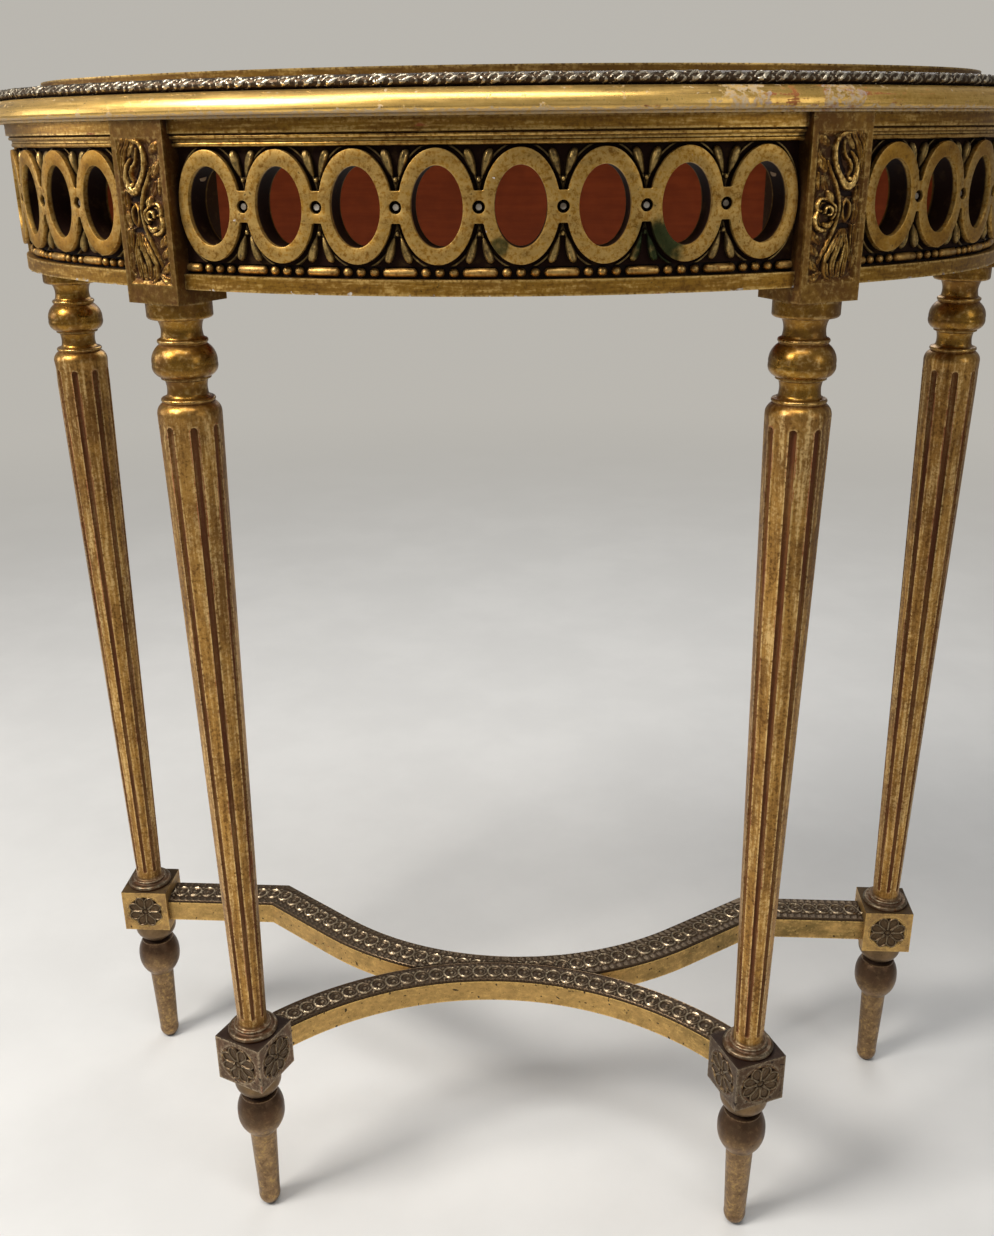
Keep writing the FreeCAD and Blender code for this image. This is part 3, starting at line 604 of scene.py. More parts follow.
def leg_flutes_group(name):
    """Where a leg's eight flutes and their fillets are, from its axis and the turn of one of them."""
    graph, given, made = group(name, {"Float": "Turn X Y"}, {"Float": "Flute Fillet"})
    x, y, z = graph.millimetres()
    turn = graph.math("ARCTAN2", x - given["X"], given["Y"] - y) - given["Turn"]
    share = graph.math("ABSOLUTE", graph.math("FRACT", turn / (math.pi / 4) + 16.5) - 0.5)
    rise = (z - FLUTE_BOTTOM) / (FLUTE_TOP - FLUTE_BOTTOM)
    aside = share * (rise.blend(*SHAFT_RADII) * (math.pi / 4))
    over = (z - FLUTE_TOP).most(FLUTE_BOTTOM - z).most(0.0)
    ratio = graph.math("SQRT", aside * aside + over * over) / rise.blend(*FLUTE_RADII)
    graph.feed(made[0], ratio.ramp(1.12, 0.72))
    graph.feed(made[1], ratio.ramp(1.0, 1.12) * ratio.ramp(1.45, 1.2))
    return graph.tree


def leaf_material(name, gold, tarnish, tarnished=0.6, rubbed=0.3, gloss=0.6, chips=0.1, edge=1.0, shade=None,
                  bump=0.3, corner=0.006, corner_range=(0.75, 0.30), stretch=(1.0, 1.0, 1.0),
                  edge_reach=0.0016, contrast=1.0, specular=0.18):
    """Gilded surface.  shade(graph) may return values for the leaf's inputs that vary over the piece."""
    made = bpy.data.materials.new(name)
    made.use_nodes = True
    graph = Graph(made.node_tree)
    surface = made.node_tree.nodes["Principled BSDF"].inputs
    surface["Specular IOR Level"].default_value = specular
    values = {"Gold": rgb(gold), "Tarnish": rgb(tarnish), "Bright": rgb("bright_gold"), "Bole": rgb("bole"),
              "Grime": rgb("grime"), "Gesso": rgb("gesso"), "Tarnished": tarnished, "Rubbed": rubbed,
              "Chips": chips, "Gloss": gloss, "Contrast": contrast, "Hollow": 0.0, "Edge": 0.0}
    changed = shade(graph) if shade else {}
    values.update(changed)
    # Occluded crevices join the hollow mask: painted shade in the recesses, with dirt
    values["Hollow"] = graph.corner(corner).ramp(*corner_range).most(values["Hollow"])
    # Thin convex edges, found by inside occlusion, are lightened: rubbed leaf, and also a painted highlight
    # along them
    if edge:
        thin = graph.corner(edge_reach, inside=True).ramp(0.93, 0.60) * edge
        values["Edge"] = thin.most(values["Edge"])
    values = {label: (*value, 1) if isinstance(value, tuple) else value for label, value in values.items()}
    old_leaf = shared("Old Leaf", old_leaf_group)
    leaf = graph.node("Group", {"Stretch": stretch, **values}, None, node_tree=old_leaf)
    for label, output in (("Base Color", "Color"), ("Roughness", "Roughness"), ("Metallic", "Metallic")):
        graph.feed(surface[label], leaf[output])
    dents = {"Strength": bump, "Distance": 0.0006, "Height": leaf["Height"]}
    graph.feed(surface["Normal"], graph.node("Bump", dents))
    return made


def frieze_shade(graph):
    """Sunk ground of the frieze: painted black in its hollows as shade and dirt, browner inside."""
    depth = graph.depth()
    return {"Hollow": depth.ramp(-1.6, -3.2) - depth.ramp(-15, -17) * 0.45}


def stained(graph, gold, tarnish, bright):
    """Colours of the leaf with the green stains over them, a large one at the right and a small one."""
    place = graph.place()
    uneven = graph.noise(place, 130)
    mask = 0.0
    for centre, reach, strength in STAINS:
        away = graph.node("VectorMath", {0: place, 1: centre}, "Value", operation="DISTANCE")
        spot = (away + uneven * (reach * 0.7)).ramp(reach * 1.20, reach * 0.80) * strength
        mask = spot.most(mask)
    mask = mask * uneven.ramp(0.15, 0.42)
    return {"Gold": mask.mix(gold, rgb("stain")), "Tarnish": mask.mix(tarnish, rgb("stain")),
            "Bright": mask.mix(bright, rgb("stain"))}


def drop_shade(graph):
    """Petals between the rings: dark at their feet as painted shade and dirt, lightened on top as rubbed
    leaf and painted highlight.
    """
    depth = graph.depth()
    return {"Hollow": depth.ramp(-3.4, -4.8), "Edge": depth.ramp(-2.2, -1.0),
            **stained(graph, rgb("olive"), rgb("bronze"), rgb("bright_gold", 0.62))}


def bead_shade(graph):
    """Beads and bars: dark in their channel as painted shade and dirt, lightened on top as rubbed leaf and
    painted highlight.
    """
    depth = graph.depth()
    return {"Hollow": depth.ramp(-4.6, -6.2), "Edge": depth.ramp(-4.4, -3.2) * 0.7,
            "Bright": rgb("bright_gold", 0.66)}


def ring_shade(graph):
    """Face of the rings: their walls darkened as painted shade and dirt, and the green stains."""
    return {"Hollow": graph.depth().ramp(-0.6, -2.6),
            **stained(graph, rgb("deep_gold", 1.2), rgb("umber"), rgb("bright_gold", 0.62))}


def upper_block_shade(graph):
    """Leg block: side faces and faces inside the frieze darkened as painted shade, browner at the left."""
    depth = graph.depth()
    x, y, z = graph.millimetres()
    left = x.ramp(100, -100)
    within = z.ramp(748, 752) * y.ramp(145.6, 144.6)
    # side faces painted darker, and their bright colour dulled, as shade falls on them
    side = depth.ramp(5.5, 4.3) * (within * 0.8)
    gold = left.mix(rgb("block_gold"), rgb("block_gold", 0.74))
    bright = left.mix(rgb("bright_gold", 0.72), rgb("bright_gold", 0.50))
    return {"Hollow": depth.ramp(-13, -19) * 0.66 * within, "Gold": side.mix(gold, rgb("umber", 0.9)),
            "Bright": side.mix(bright, rgb("gold", 0.5))}


def relief_shade(hollow, high, edge, low_gold, high_gold, high_bright=None):
    """Carved work: low parts of its relief darkened as painted shade and dirt, another colour above,
    lightened on top as rubbed leaf and painted highlight.
    """
    def shade(graph):
        relief = graph.attribute("relief")
        share = relief.ramp(*high)
        looks = {"Hollow": relief.ramp(*hollow), "Edge": relief.ramp(*edge),
                 "Gold": share.mix(rgb(low_gold), rgb(high_gold))}
        if high_bright:
            looks["Bright"] = share.mix(rgb(low_gold), rgb(high_bright))
        return looks
    return shade


def ground_shade(graph):
    """Plain bronzed ground under and beside the carving."""
    return {"Bright": rgb("pale_bronze", 0.34)}


def rosette_shade(field_colour):
    """Dark flower on a block's face, low relief darkened as painted shade and dirt, petal tops lightened as
    rubbed leaf and painted highlight; the field between its petals' tips keeps the block's colour.
    """
    def shade(graph):
        relief, field = graph.attribute("relief"), graph.attribute("field")
        high = relief.ramp(0.30, 1.0)
        dark = rgb("block_bronze", 0.34)
        petals, rubbed = high.mix(dark, rgb("foot_gold", 0.40)), high.mix(dark, rgb("pale_bronze", 0.52))
        return {"Hollow": (relief.ramp(0.16, 0.02) * (0.85 - field)).clamped(),
                "Gold": field.mix(petals, rgb(field_colour)),
                "Bright": field.mix(rubbed, rgb("bright_gold")),
                "Edge": relief.ramp(0.74, 1.0) * (1.0 - field)}
    return shade


def rim_shade(graph):
    """Burnished rim: red rubs along it, grey patches at the right and chips on its lower fillet."""
    place = graph.place()
    x, _, z = graph.millimetres()
    broken = graph.noise(place, 150, 5, 0.65)
    blots = graph.noise(place, 40, 3, 0.6)
    worn = x.ramp(124, 136) * x.ramp(164, 150) + x.ramp(184, 194) * x.ramp(220, 208) * 0.8
    patch = (worn * 0.19 + broken).ramp(0.62, 0.66)
    red = x.ramp(142, 162) * x.ramp(234, 214) * broken.ramp(0.40, 0.56)
    low = z.ramp(849.4, 847.4) + z.ramp(851.5, 848.5) * blots
    fillet = (low * 0.30 + broken).ramp(0.66, 0.72)
    return {"Lost": patch.most(fillet) * 0.62, "Rubbed": red * 0.42 + x.ramp(-40, 60) * 0.12 + 0.44,
            "Tarnish": x.ramp(100, 180).mix(rgb("pale_gold"), rgb("deep_gold"))}


def fascia_shade(graph):
    """Chips along the lower edge, down to the white ground."""
    z = graph.millimetres()[2]
    broken = graph.noise(graph.place(), 120, 4, 0.6) + z.ramp(753.2, 750.6) * 0.16
    return {"Lost": broken.ramp(0.73, 0.75)}


def top_shade(graph):
    """Edge of the top, darker towards its arris; the face is calmer."""
    z = graph.millimetres()[2]
    face = z.ramp(870.5, 871.9)
    return {"Gold": z.ramp(867.5, 871.9).mix(rgb("deep_gold", 0.8), rgb("block_gold", 0.62)),
            "Tarnished": face.blend(0.7, 0.25), "Contrast": face.blend(0.5, 0.22)}


def block_shade(graph):
    """Blocks and rails of the stretcher: dirt lies on their tops and in worm holes."""
    normal = graph.node("NewGeometry", output="Normal")
    up = graph.node("SeparateXYZ", {0: normal}, "Z")
    spots = graph.noise(graph.place(), 230, 1, 0.4).ramp(0.70, 0.735)
    return {"Hollow": up.ramp(0.80, 0.95).most(spots) * 0.86}


def rail_shade(graph):
    """Rails, toned darker towards the right."""
    x = graph.millimetres()[0]
    return {**block_shade(graph), "Tarnished": x.ramp(60, 230).blend(0.40, 1.0)}


def front_block_shade(graph):
    """Front blocks, darker at the right."""
    right = graph.millimetres()[0].ramp(-60, 60)
    return {**block_shade(graph), "Gold": right.mix(rgb("block_bronze"), rgb("block_bronze", 0.62)),
            "Bright": right.mix(rgb("pale_bronze", 0.9), rgb("pale_bronze", 0.6))}


def foot_shade(graph):
    """Foot: dark bulb under a golden collar, over a paler shank."""
    z = graph.millimetres()[2]
    shank = (z + graph.noise(graph.place(), 45) * 34.0).ramp(124, 98)
    bulb = z.ramp(119, 124).mix(rgb("block_bronze", 0.66), rgb("foot_gold", 0.62))
    return {"Gold": shank.mix(bulb, rgb("foot_gold", 0.86)), "Contrast": shank.blend(0.40, 1.0),
            "Bright": shank.mix(rgb("foot_gold", 0.85), rgb("bright_gold", 0.7)),
            "Tarnish": shank.mix(rgb("bronze"), rgb("block_bronze", 0.7))}


def leg_shade(leg):
    """Shaft: red-brown flutes, darkened as painted shade in the grooves, with red rubs and a painted sheen
    on the fillets beside them, darker turned vase, bronze rings at its foot.
    """
    def shade(graph):
        x, y = leg_axis(leg)
        where = {"Turn": math.radians(FLUTE_TURNS[leg]), "X": x, "Y": y}
        flutes = graph.node("Group", where, None, node_tree=shared("Leg Flutes", leg_flutes_group))
        z = graph.millimetres()[2]
        low, vase = z.ramp(190, 185.5), z.ramp(668, 682)
        # fillets beside the flutes: red rubs, and lightened as a painted sheen
        beside = flutes["Fillet"] * (z.ramp(676, 668) * z.ramp(186, 192))
        along = graph.math("GREATER_THAN", z, 684.0).blend(0.07, 1.2)
        uneven = graph.noise(graph.stretched(graph.place(), (1.0, 1.0, 0.10)), 150, 4, 0.6).ramp(0.34, 0.60)
        shaft = low.mix(rgb("gold"), rgb("pale_bronze", 0.24))
        return {"Hollow": flutes["Flute"] * uneven.blend(0.97, 0.70), "Grime": rgb("flute_shade"),
                "Gold": vase.mix(shaft, rgb("deep_gold", 0.95)), "Edge": beside * 0.60,
                "Bright": low.mix(rgb("leg_glint"), rgb("pale_bronze", 0.7)),
                "Rubbed": beside * 0.45 + low * -0.35 + 0.42, "Gloss": vase.blend(0.66, 0.92),
                "Contrast": vase.blend(1.3, 0.55),
                "Stretch": graph.node("CombineXYZ", {0: 1.0, 1: 1.0, 2: along})}
    return shade


FINISHES = {
    "burnished_rim": dict(gold="rim_gold", tarnish="pale_gold", tarnished=0.55, gloss=0.86, chips=0.05,
                          bump=0.14, corner=0.004, stretch=(0.10, 0.10, 2.4), shade=rim_shade, edge=0.5),
    "frieze_leaf": dict(gold="deep_gold", tarnish="olive", tarnished=0.7, rubbed=0.25, gloss=0.45,
                        shade=frieze_shade, edge=0, specular=0.05),
    "ring_leaf": dict(gold="deep_gold", tarnish="umber", tarnished=0.42, rubbed=0.16, gloss=0.40,
                      chips=0.34, shade=ring_shade, edge_reach=0.0012, edge=0.7, contrast=0.8,
                      stretch=(0.4, 0.4, 1.0), specular=0.05),
    "drop_leaf": dict(gold="olive", tarnish="bronze", tarnished=0.4, rubbed=0.15, shade=drop_shade, edge=0),
    "carved_leaf": dict(gold="deep_gold", tarnish="umber", tarnished=0.55, rubbed=0.25, gloss=0.8, edge=0,
                        bump=0.5,
                        shade=relief_shade((0.25, 0.05), (0.16, 0.86), (0.60, 0.92), "umber", "deep_gold")),
    "bronzed": dict(gold="pale_bronze", tarnish="bronze", tarnished=0.7, rubbed=0.10, gloss=0.8, edge=0,
                    bump=0.5,
                    shade=relief_shade((0.24, 0.04), (0.34, 1.0), (0.72, 1.0),
                                       "bronze", "pale_bronze", "pale_bronze")),
    "band_bronze": dict(gold="pale_bronze", tarnish="bronze", tarnished=0.5, rubbed=0.05, gloss=0.9, edge=0,
                        bump=0.5,
                        shade=relief_shade((0.28, 0.08), (0.28, 0.80), (0.72, 1.0),
                                           "bronze", "silvery", "silvery_glint")),
    "rosette_front": dict(gold="block_bronze", tarnish="bronze", tarnished=0.4, rubbed=0.2, gloss=0.7,
                          shade=rosette_shade("block_bronze"), edge=0, bump=0.4),
    "rosette_rear": dict(gold="block_bronze", tarnish="bronze", tarnished=0.4, rubbed=0.2, gloss=0.7,
                         shade=rosette_shade("pale_gold"), edge=0, bump=0.4),
    "bronze_ground": dict(gold="bronze", tarnish="grime", tarnished=0.3, rubbed=0.05, gloss=0.5, edge=0,
                          shade=ground_shade, contrast=0.5),
    "moulding_leaf": dict(gold="deep_gold", tarnish="umber", tarnished=0.46, rubbed=0.42, gloss=0.72,
                          stretch=(0.16, 0.16, 1.8)),
    "block_leaf": dict(gold="block_gold", tarnish="umber", tarnished=0.75, rubbed=0.34, gloss=0.50,
                       chips=0.18, shade=upper_block_shade, edge=0.45, contrast=0.8),
    "fascia_leaf": dict(gold="deep_gold", tarnish="umber", tarnished=0.40, rubbed=0.36, gloss=0.55,
                        shade=fascia_shade, stretch=(0.2, 0.2, 1.4)),
    "bead_leaf": dict(gold="gold", tarnish="umber", tarnished=0.5, rubbed=0.15, gloss=0.5, shade=bead_shade,
                      corner=0.003, edge=0),
    "rail_leaf": dict(gold="pale_gold", tarnish="olive", rubbed=0.40, gloss=0.50, chips=0.14,
                      shade=rail_shade, stretch=(0.45, 0.45, 0.9), contrast=0.85),
    "front_block_leaf": dict(gold="block_bronze", tarnish="bronze", tarnished=0.7, gloss=0.72, chips=0.30,
                             shade=front_block_shade, contrast=0.7, edge=0.85, edge_reach=0.0026),
    "rear_block_leaf": dict(gold="pale_gold", tarnish="block_bronze", rubbed=0.45, gloss=0.50, chips=0.20,
                            shade=block_shade, contrast=0.6, edge=0.5),
    "foot_leaf": dict(gold="foot_gold", tarnish="bronze", tarnished=0.55, rubbed=0.25, gloss=0.72,
                      shade=foot_shade),
    "top_leaf": dict(gold="deep_gold", tarnish="umber", rubbed=0.12, gloss=0.5, shade=top_shade,
                     stretch=(0.2, 0.2, 1.2)),
    **{"leg_leaf_" + leg: dict(gold="gold", tarnish="umber", bump=0.4, corner=0.008,
                               corner_range=(0.88, 0.34), tarnished=0.70,
                               shade=leg_shade(leg)) for leg in LEGS},
}
# light colour, dark colour and roughness of what isn't gilded
PLAIN = {
    "red_paint": (("back_rail", None), ("back_rail", 0.74), 0.5),
    "pale_pin": ((0.36, 0.33, 0.28), (0.12, 0.09, 0.06), 0.5),
    "steel": ((0.55, 0.55, 0.56), (0.30, 0.28, 0.26), 0.35),
    "bare_wood": (("bare_wood", None), ("bare_wood", 0.5), 0.65),
}


def material(name):
    """The table's finishes, each made once."""
    found = bpy.data.materials.get(name)
    if found:
        return found
    return leaf_material(name, **FINISHES[name]) if name in FINISHES else plain_material(name)


def plain_material(name):
    """Paint, bare wood and steel."""
    made = bpy.data.materials.new(name)
    made.use_nodes = True
    graph = Graph(made.node_tree)
    surface = made.node_tree.nodes["Principled BSDF"].inputs
    surface["Specular IOR Level"].default_value = 0.2
    surface["Metallic"].default_value = float(name == "steel")
    place = graph.place()
    grain = graph.noise(graph.stretched(place, (1.0, 12.0, 12.0)), 22, 5, 0.6)
    spots = graph.noise(place, 90, 4, 0.6)
    *tones, rough = PLAIN[name]
    base, dark = (rgb(*tone) if len(tone) == 2 else tone for tone in tones)
    graph.feed(surface["Base Color"], (grain * 0.6 + spots * 0.4).ramp(0.38, 0.66).mix(dark, base))
    graph.feed(surface["Roughness"], grain.blend(rough - 0.08, rough + 0.12))
    graph.feed(surface["Normal"], graph.node("Bump", {"Strength": 0.2, "Distance": 0.0005, "Height": grain}))
    return made


# ---------------------------------------------------------------- operators
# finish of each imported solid, by the whole name of its node or by the name's beginning
SOLIDS = {
    "frieze_pins": "pale_pin", "frieze_dowels": "bare_wood", "frieze": "frieze_leaf",
    "bead": "bronze_ground",
    "fascia": "fascia_leaf", "cornice": "moulding_leaf", "rim_back": "bare_wood", "rim": "burnished_rim",
    "carved": "bronze_ground", "foot": "foot_leaf", "stretcher_dowels": "bare_wood",
    "stretcher_block_front": "front_block_leaf", "stretcher_block_rear": "rear_block_leaf",
    "stretcher": "rail_leaf", "coin": "bronze_ground", "rosettes": "bronze_ground", "pilaster": "block_leaf",
    "back": "red_paint", "top_screws": "steel", "top_batten": "bare_wood", "top": "top_leaf",
    "glue": "bare_wood", "leg_block": "block_leaf", **{"leg_" + leg: "leg_leaf_" + leg for leg in LEGS},
}


class PIERTABLE_OT_finish_solids(bpy.types.Operator):
    """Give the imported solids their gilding, paint and wood"""
    bl_idname = "pier_table.finish_solids"
    bl_label = "Gild the solids"

    def execute(self, context):
        for name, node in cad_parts.items():
            finish = next((finish for start, finish in SOLIDS.items() if name.startswith(start)), None)
            if finish is None:
                raise RuntimeError("no finish for " + name)
            node.data.materials.clear()
            node.data.materials.append(material(finish))
        return {"FINISHED"}


def oval_places():
    """Arc lengths of the ovals and of the tabs between them, one list for each run."""
    middle = [(i - 3.5) * mm("middle_pitch") for i in range(8)]
    right = [mm("first_side_oval") + i * mm("side_pitch") for i in range(5)]
    runs = [middle, [-s for s in reversed(right)], right]
    return runs, [[(a + b) / 2 for a, b in zip(run, run[1:])] for run in runs]


def flat_ring(place):
    """Oval ring laid flat on the line of ovals, its face at z = 0."""
    piece = primitive("circle", "ring", vertices=72, radius=1, fill_type="NGON")
    down = {"TRANSFORM_OT_translate": {"value": (0, 0, -RING_DEPTH)}}
    edit(piece, ("inset", {"thickness": 0.3, "depth": 0}), ("delete", {"type": "FACE"}), ALL,
         ("extrude_region_move", down), ALL, ("normals_make_consistent", {"inside": False}))
    x, y, z = points_of(piece).T
    radius = np.hypot(x, y)
    outer = radius > 0.85
    half_x = np.where(outer, mm("oval_width") / 2 + RING_OVER, mm("hole_width") / 2 - RING_INTO_HOLE)
    half_y = np.where(outer, mm("oval_height") / 2 + RING_OVER, mm("hole_height") / 2 - RING_INTO_HOLE)
    set_points(piece, x * (half_x / radius) + place, y * (half_y / radius), z)
    return piece


def ring_chain(name, places, tabs):
    """Rings joined by tabs with a round hole through each, one flat piece with softened edges."""
    rings = joined(name, [flat_ring(place) for place in places])
    plates, drills = [], []
    plate_size = (TAB_WIDTH, TAB_HEIGHT, RING_DEPTH)
    for place in tabs:
        plates.append(primitive("cube", "plate", size=1, location=(place, 0, -RING_DEPTH / 2),
                                scale=plate_size))
        bpy.ops.object.transform_apply()
        drills.append(primitive("cylinder", "drill", vertices=28, radius=PIN_HOLE_RADIUS, depth=20,
                                location=(place, 0, 0)))
        bpy.ops.object.transform_apply()
    cut_or_fuse(rings, plates, "UNION")
    cut_or_fuse(rings, drills, "DIFFERENCE")
    edit(rings, ("remove_doubles", {"threshold": 0.02}),
         ("dissolve_limited", {"angle_limit": math.radians(1)}))
    modifier(rings, "BEVEL", width=0.55, segments=2, limit_method="ANGLE", angle_limit=math.radians(50),
             use_clamp_overlap=False)
    edit(rings, ("quads_convert_to_tris", {"quad_method": "BEAUTY", "ngon_method": "BEAUTY"}))
    return rings


class PIERTABLE_OT_oval_rings(bpy.types.Operator):
    """Soft-edged rings and tabs on the pierced frieze"""
    bl_idname = "pier_table.oval_rings"
    bl_label = "Oval rings"

    def execute(self, context):
        for run, places, gaps in zip(RUNS, *oval_places()):
            piece = ring_chain("ring_chain_" + run, places, gaps)
            face = RING_FACE if run == "front" else SIDE_RING_FACE
            set_points(piece, placed_on_plan(0, mm("frieze_middle"), face)(points_of(piece)))
            finish_piece(piece, "ring_leaf", smooth=24)
        return {"FINISHED"}


class PIERTABLE_OT_bead_course(bpy.types.Operator):
    """Round-ended bars and beads below the frieze, on a sunk strip"""
    bl_idname = "pier_table.bead_course"
    bl_label = "Beads and bars"

    reach = {"front": (-188.5, 188.5), "left": (-467.0, -228.5), "right": (228.5, 467.0)}
    course_out, ground_out, back_out, ground_height = -5.8, -7.6, -17.0, 7

    def bead(self, spots, longer):
        """Balls at the spots, pulled apart along the course by a number of radii to make bars."""
        master = primitive("uv_sphere", "bead", segments=14, ring_count=10, radius=1)
        x, y, z = points_of(master).T
        radius = mm("bead_size") / 2
        along = z + np.sign(np.round(z, 3)) * longer
        set_points(master, along * radius, x * radius, y * radius)
        places = [placed_on_plan(s, mm("bead_middle"), self.course_out) for s in spots]
        return copies(master, "course", places)

    def execute(self, context):
        for run, pins in zip(RUNS, oval_places()[1]):
            low, high = self.reach[run]
            pitch = pins[1] - pins[0]
            bars = [pins[0] - pitch] + pins + [pins[-1] + pitch]
            beads = [s + pitch / 2 + i * BEAD_STEP for s in bars[:-1] for i in (-1, 0, 1)]
            longer = mm("bar_length") / 2 / (mm("bead_size") / 2) - 1
            parts = [self.bead(bars, longer), self.bead(beads, 0)]
            back, across, up, front = slab("back", int((high - low) / 4), 2)
            x, y = on_plan(low + across * (high - low), np.where(front, self.ground_out, self.back_out))
            set_points(back, x, y, mm("bead_middle") + (up - 0.5) * self.ground_height)
            piece = joined("bead_course_" + run, [back] + parts)
            finish_piece(piece, "bead_leaf", ["bead_strip_" + run])
        return {"FINISHED"}


def leaf_master(name, length, width, relief, point=0.62):
    """Rounded drop: a flattened ball narrowed towards its foot, with a slight groove."""
    piece = primitive("uv_sphere", name, segments=14, ring_count=10, radius=1)
    x, z, y = points_of(piece).T
    share = (y + 1) / 2
    taper = 1 - point * (1 - share)**0.9
    groove = 0.45 * point * bell(x / 0.25) * share
    height = np.where(z > 0, np.maximum(z, 0)**0.7 * (1 - groove), z * 0.3)
    set_points(piece, x * taper * width / 2, y * length / 2, height * relief * taper**0.5)
    return piece


def leaning(degrees, x, y, shape):
    """Turns flat points about their foot before they are placed."""
    turn = math.radians(degrees)

    def moved(points):
        u = x + points[:, 0] * math.cos(turn) + points[:, 1] * math.sin(turn)
        v = y - points[:, 0] * math.sin(turn) + points[:, 1] * math.cos(turn)
        return shape(np.column_stack([u, v, points[:, 2]]))
    return moved


class PIERTABLE_OT_frieze_leaves(bpy.types.Operator):
    """Petals, seeds and outline arcs between the ovals"""
    bl_idname = "pier_table.frieze_leaves"
    bl_label = "Frieze leaves"

    ground_out = -4.4
    drop_lean, drop_aside, drop_up, pearl_up, stem_up = 19, 4.3, 23.0, 14.2, 11.2
    arc_half_width, arc_half_height, arc_end, arc_width, arc_rise = 24.4, 33.6, 31.8, 0.75, 1.3
    arc_thickness = 0.03

    def arc(self):
        """Thin oval line round a ring, cut off above and below."""
        piece = primitive("torus", "arc", major_segments=72, minor_segments=6, major_radius=1,
                          minor_radius=self.arc_thickness)
        x, y, z = points_of(piece).T
        radius = np.hypot(x, y)
        thick = (radius - 1) / self.arc_thickness * self.arc_width
        half_x, half_y = self.arc_half_width + thick, self.arc_half_height + thick
        set_points(piece, x / radius * half_x, y / radius * half_y, z / self.arc_thickness * self.arc_rise)
        ends = [("bisect", {"plane_co": (0, up * self.arc_end, 0), "plane_no": (0, up, 0),
                            "clear_outer": True, "use_fill": True}) for up in (1, -1)]
        edit(piece, ends[0], ALL, ends[1])
        return piece

    def execute(self, context):
        runs, tabs = oval_places()
        middle = mm("frieze_middle")
        drops, pearls, stems = [], [], []
        for s in sum(tabs, []):
            place = placed_on_plan(s, middle, self.ground_out)
            for up in (1, -1):
                turn = 0 if up > 0 else 180
                for side in (1, -1):
                    lean = side * abs(turn - self.drop_lean)
                    drops.append(leaning(lean, side * self.drop_aside, up * self.drop_up, place))
                pearls.append(leaning(0, 0, up * self.pearl_up, place))
                stems.append(leaning(turn, 0, up * self.stem_up, place))
        arcs = [placed_on_plan(s, middle, self.ground_out) for s in sum(runs, [])]
        for name, master, places in (("frieze_drops", leaf_master("drop", 15.8, 7.6, 4.2), drops),
                                     ("frieze_pearls", leaf_master("pearl", 3.4, 3.2, 3.2, 0.0), pearls),
                                     ("frieze_stems", leaf_master("stem", 5.5, 1.8, 2.2), stems),
                                     ("frieze_arcs", self.arc(), arcs)):
            finish_piece(copies(master, name, places), "drop_leaf")
        return {"FINISHED"}


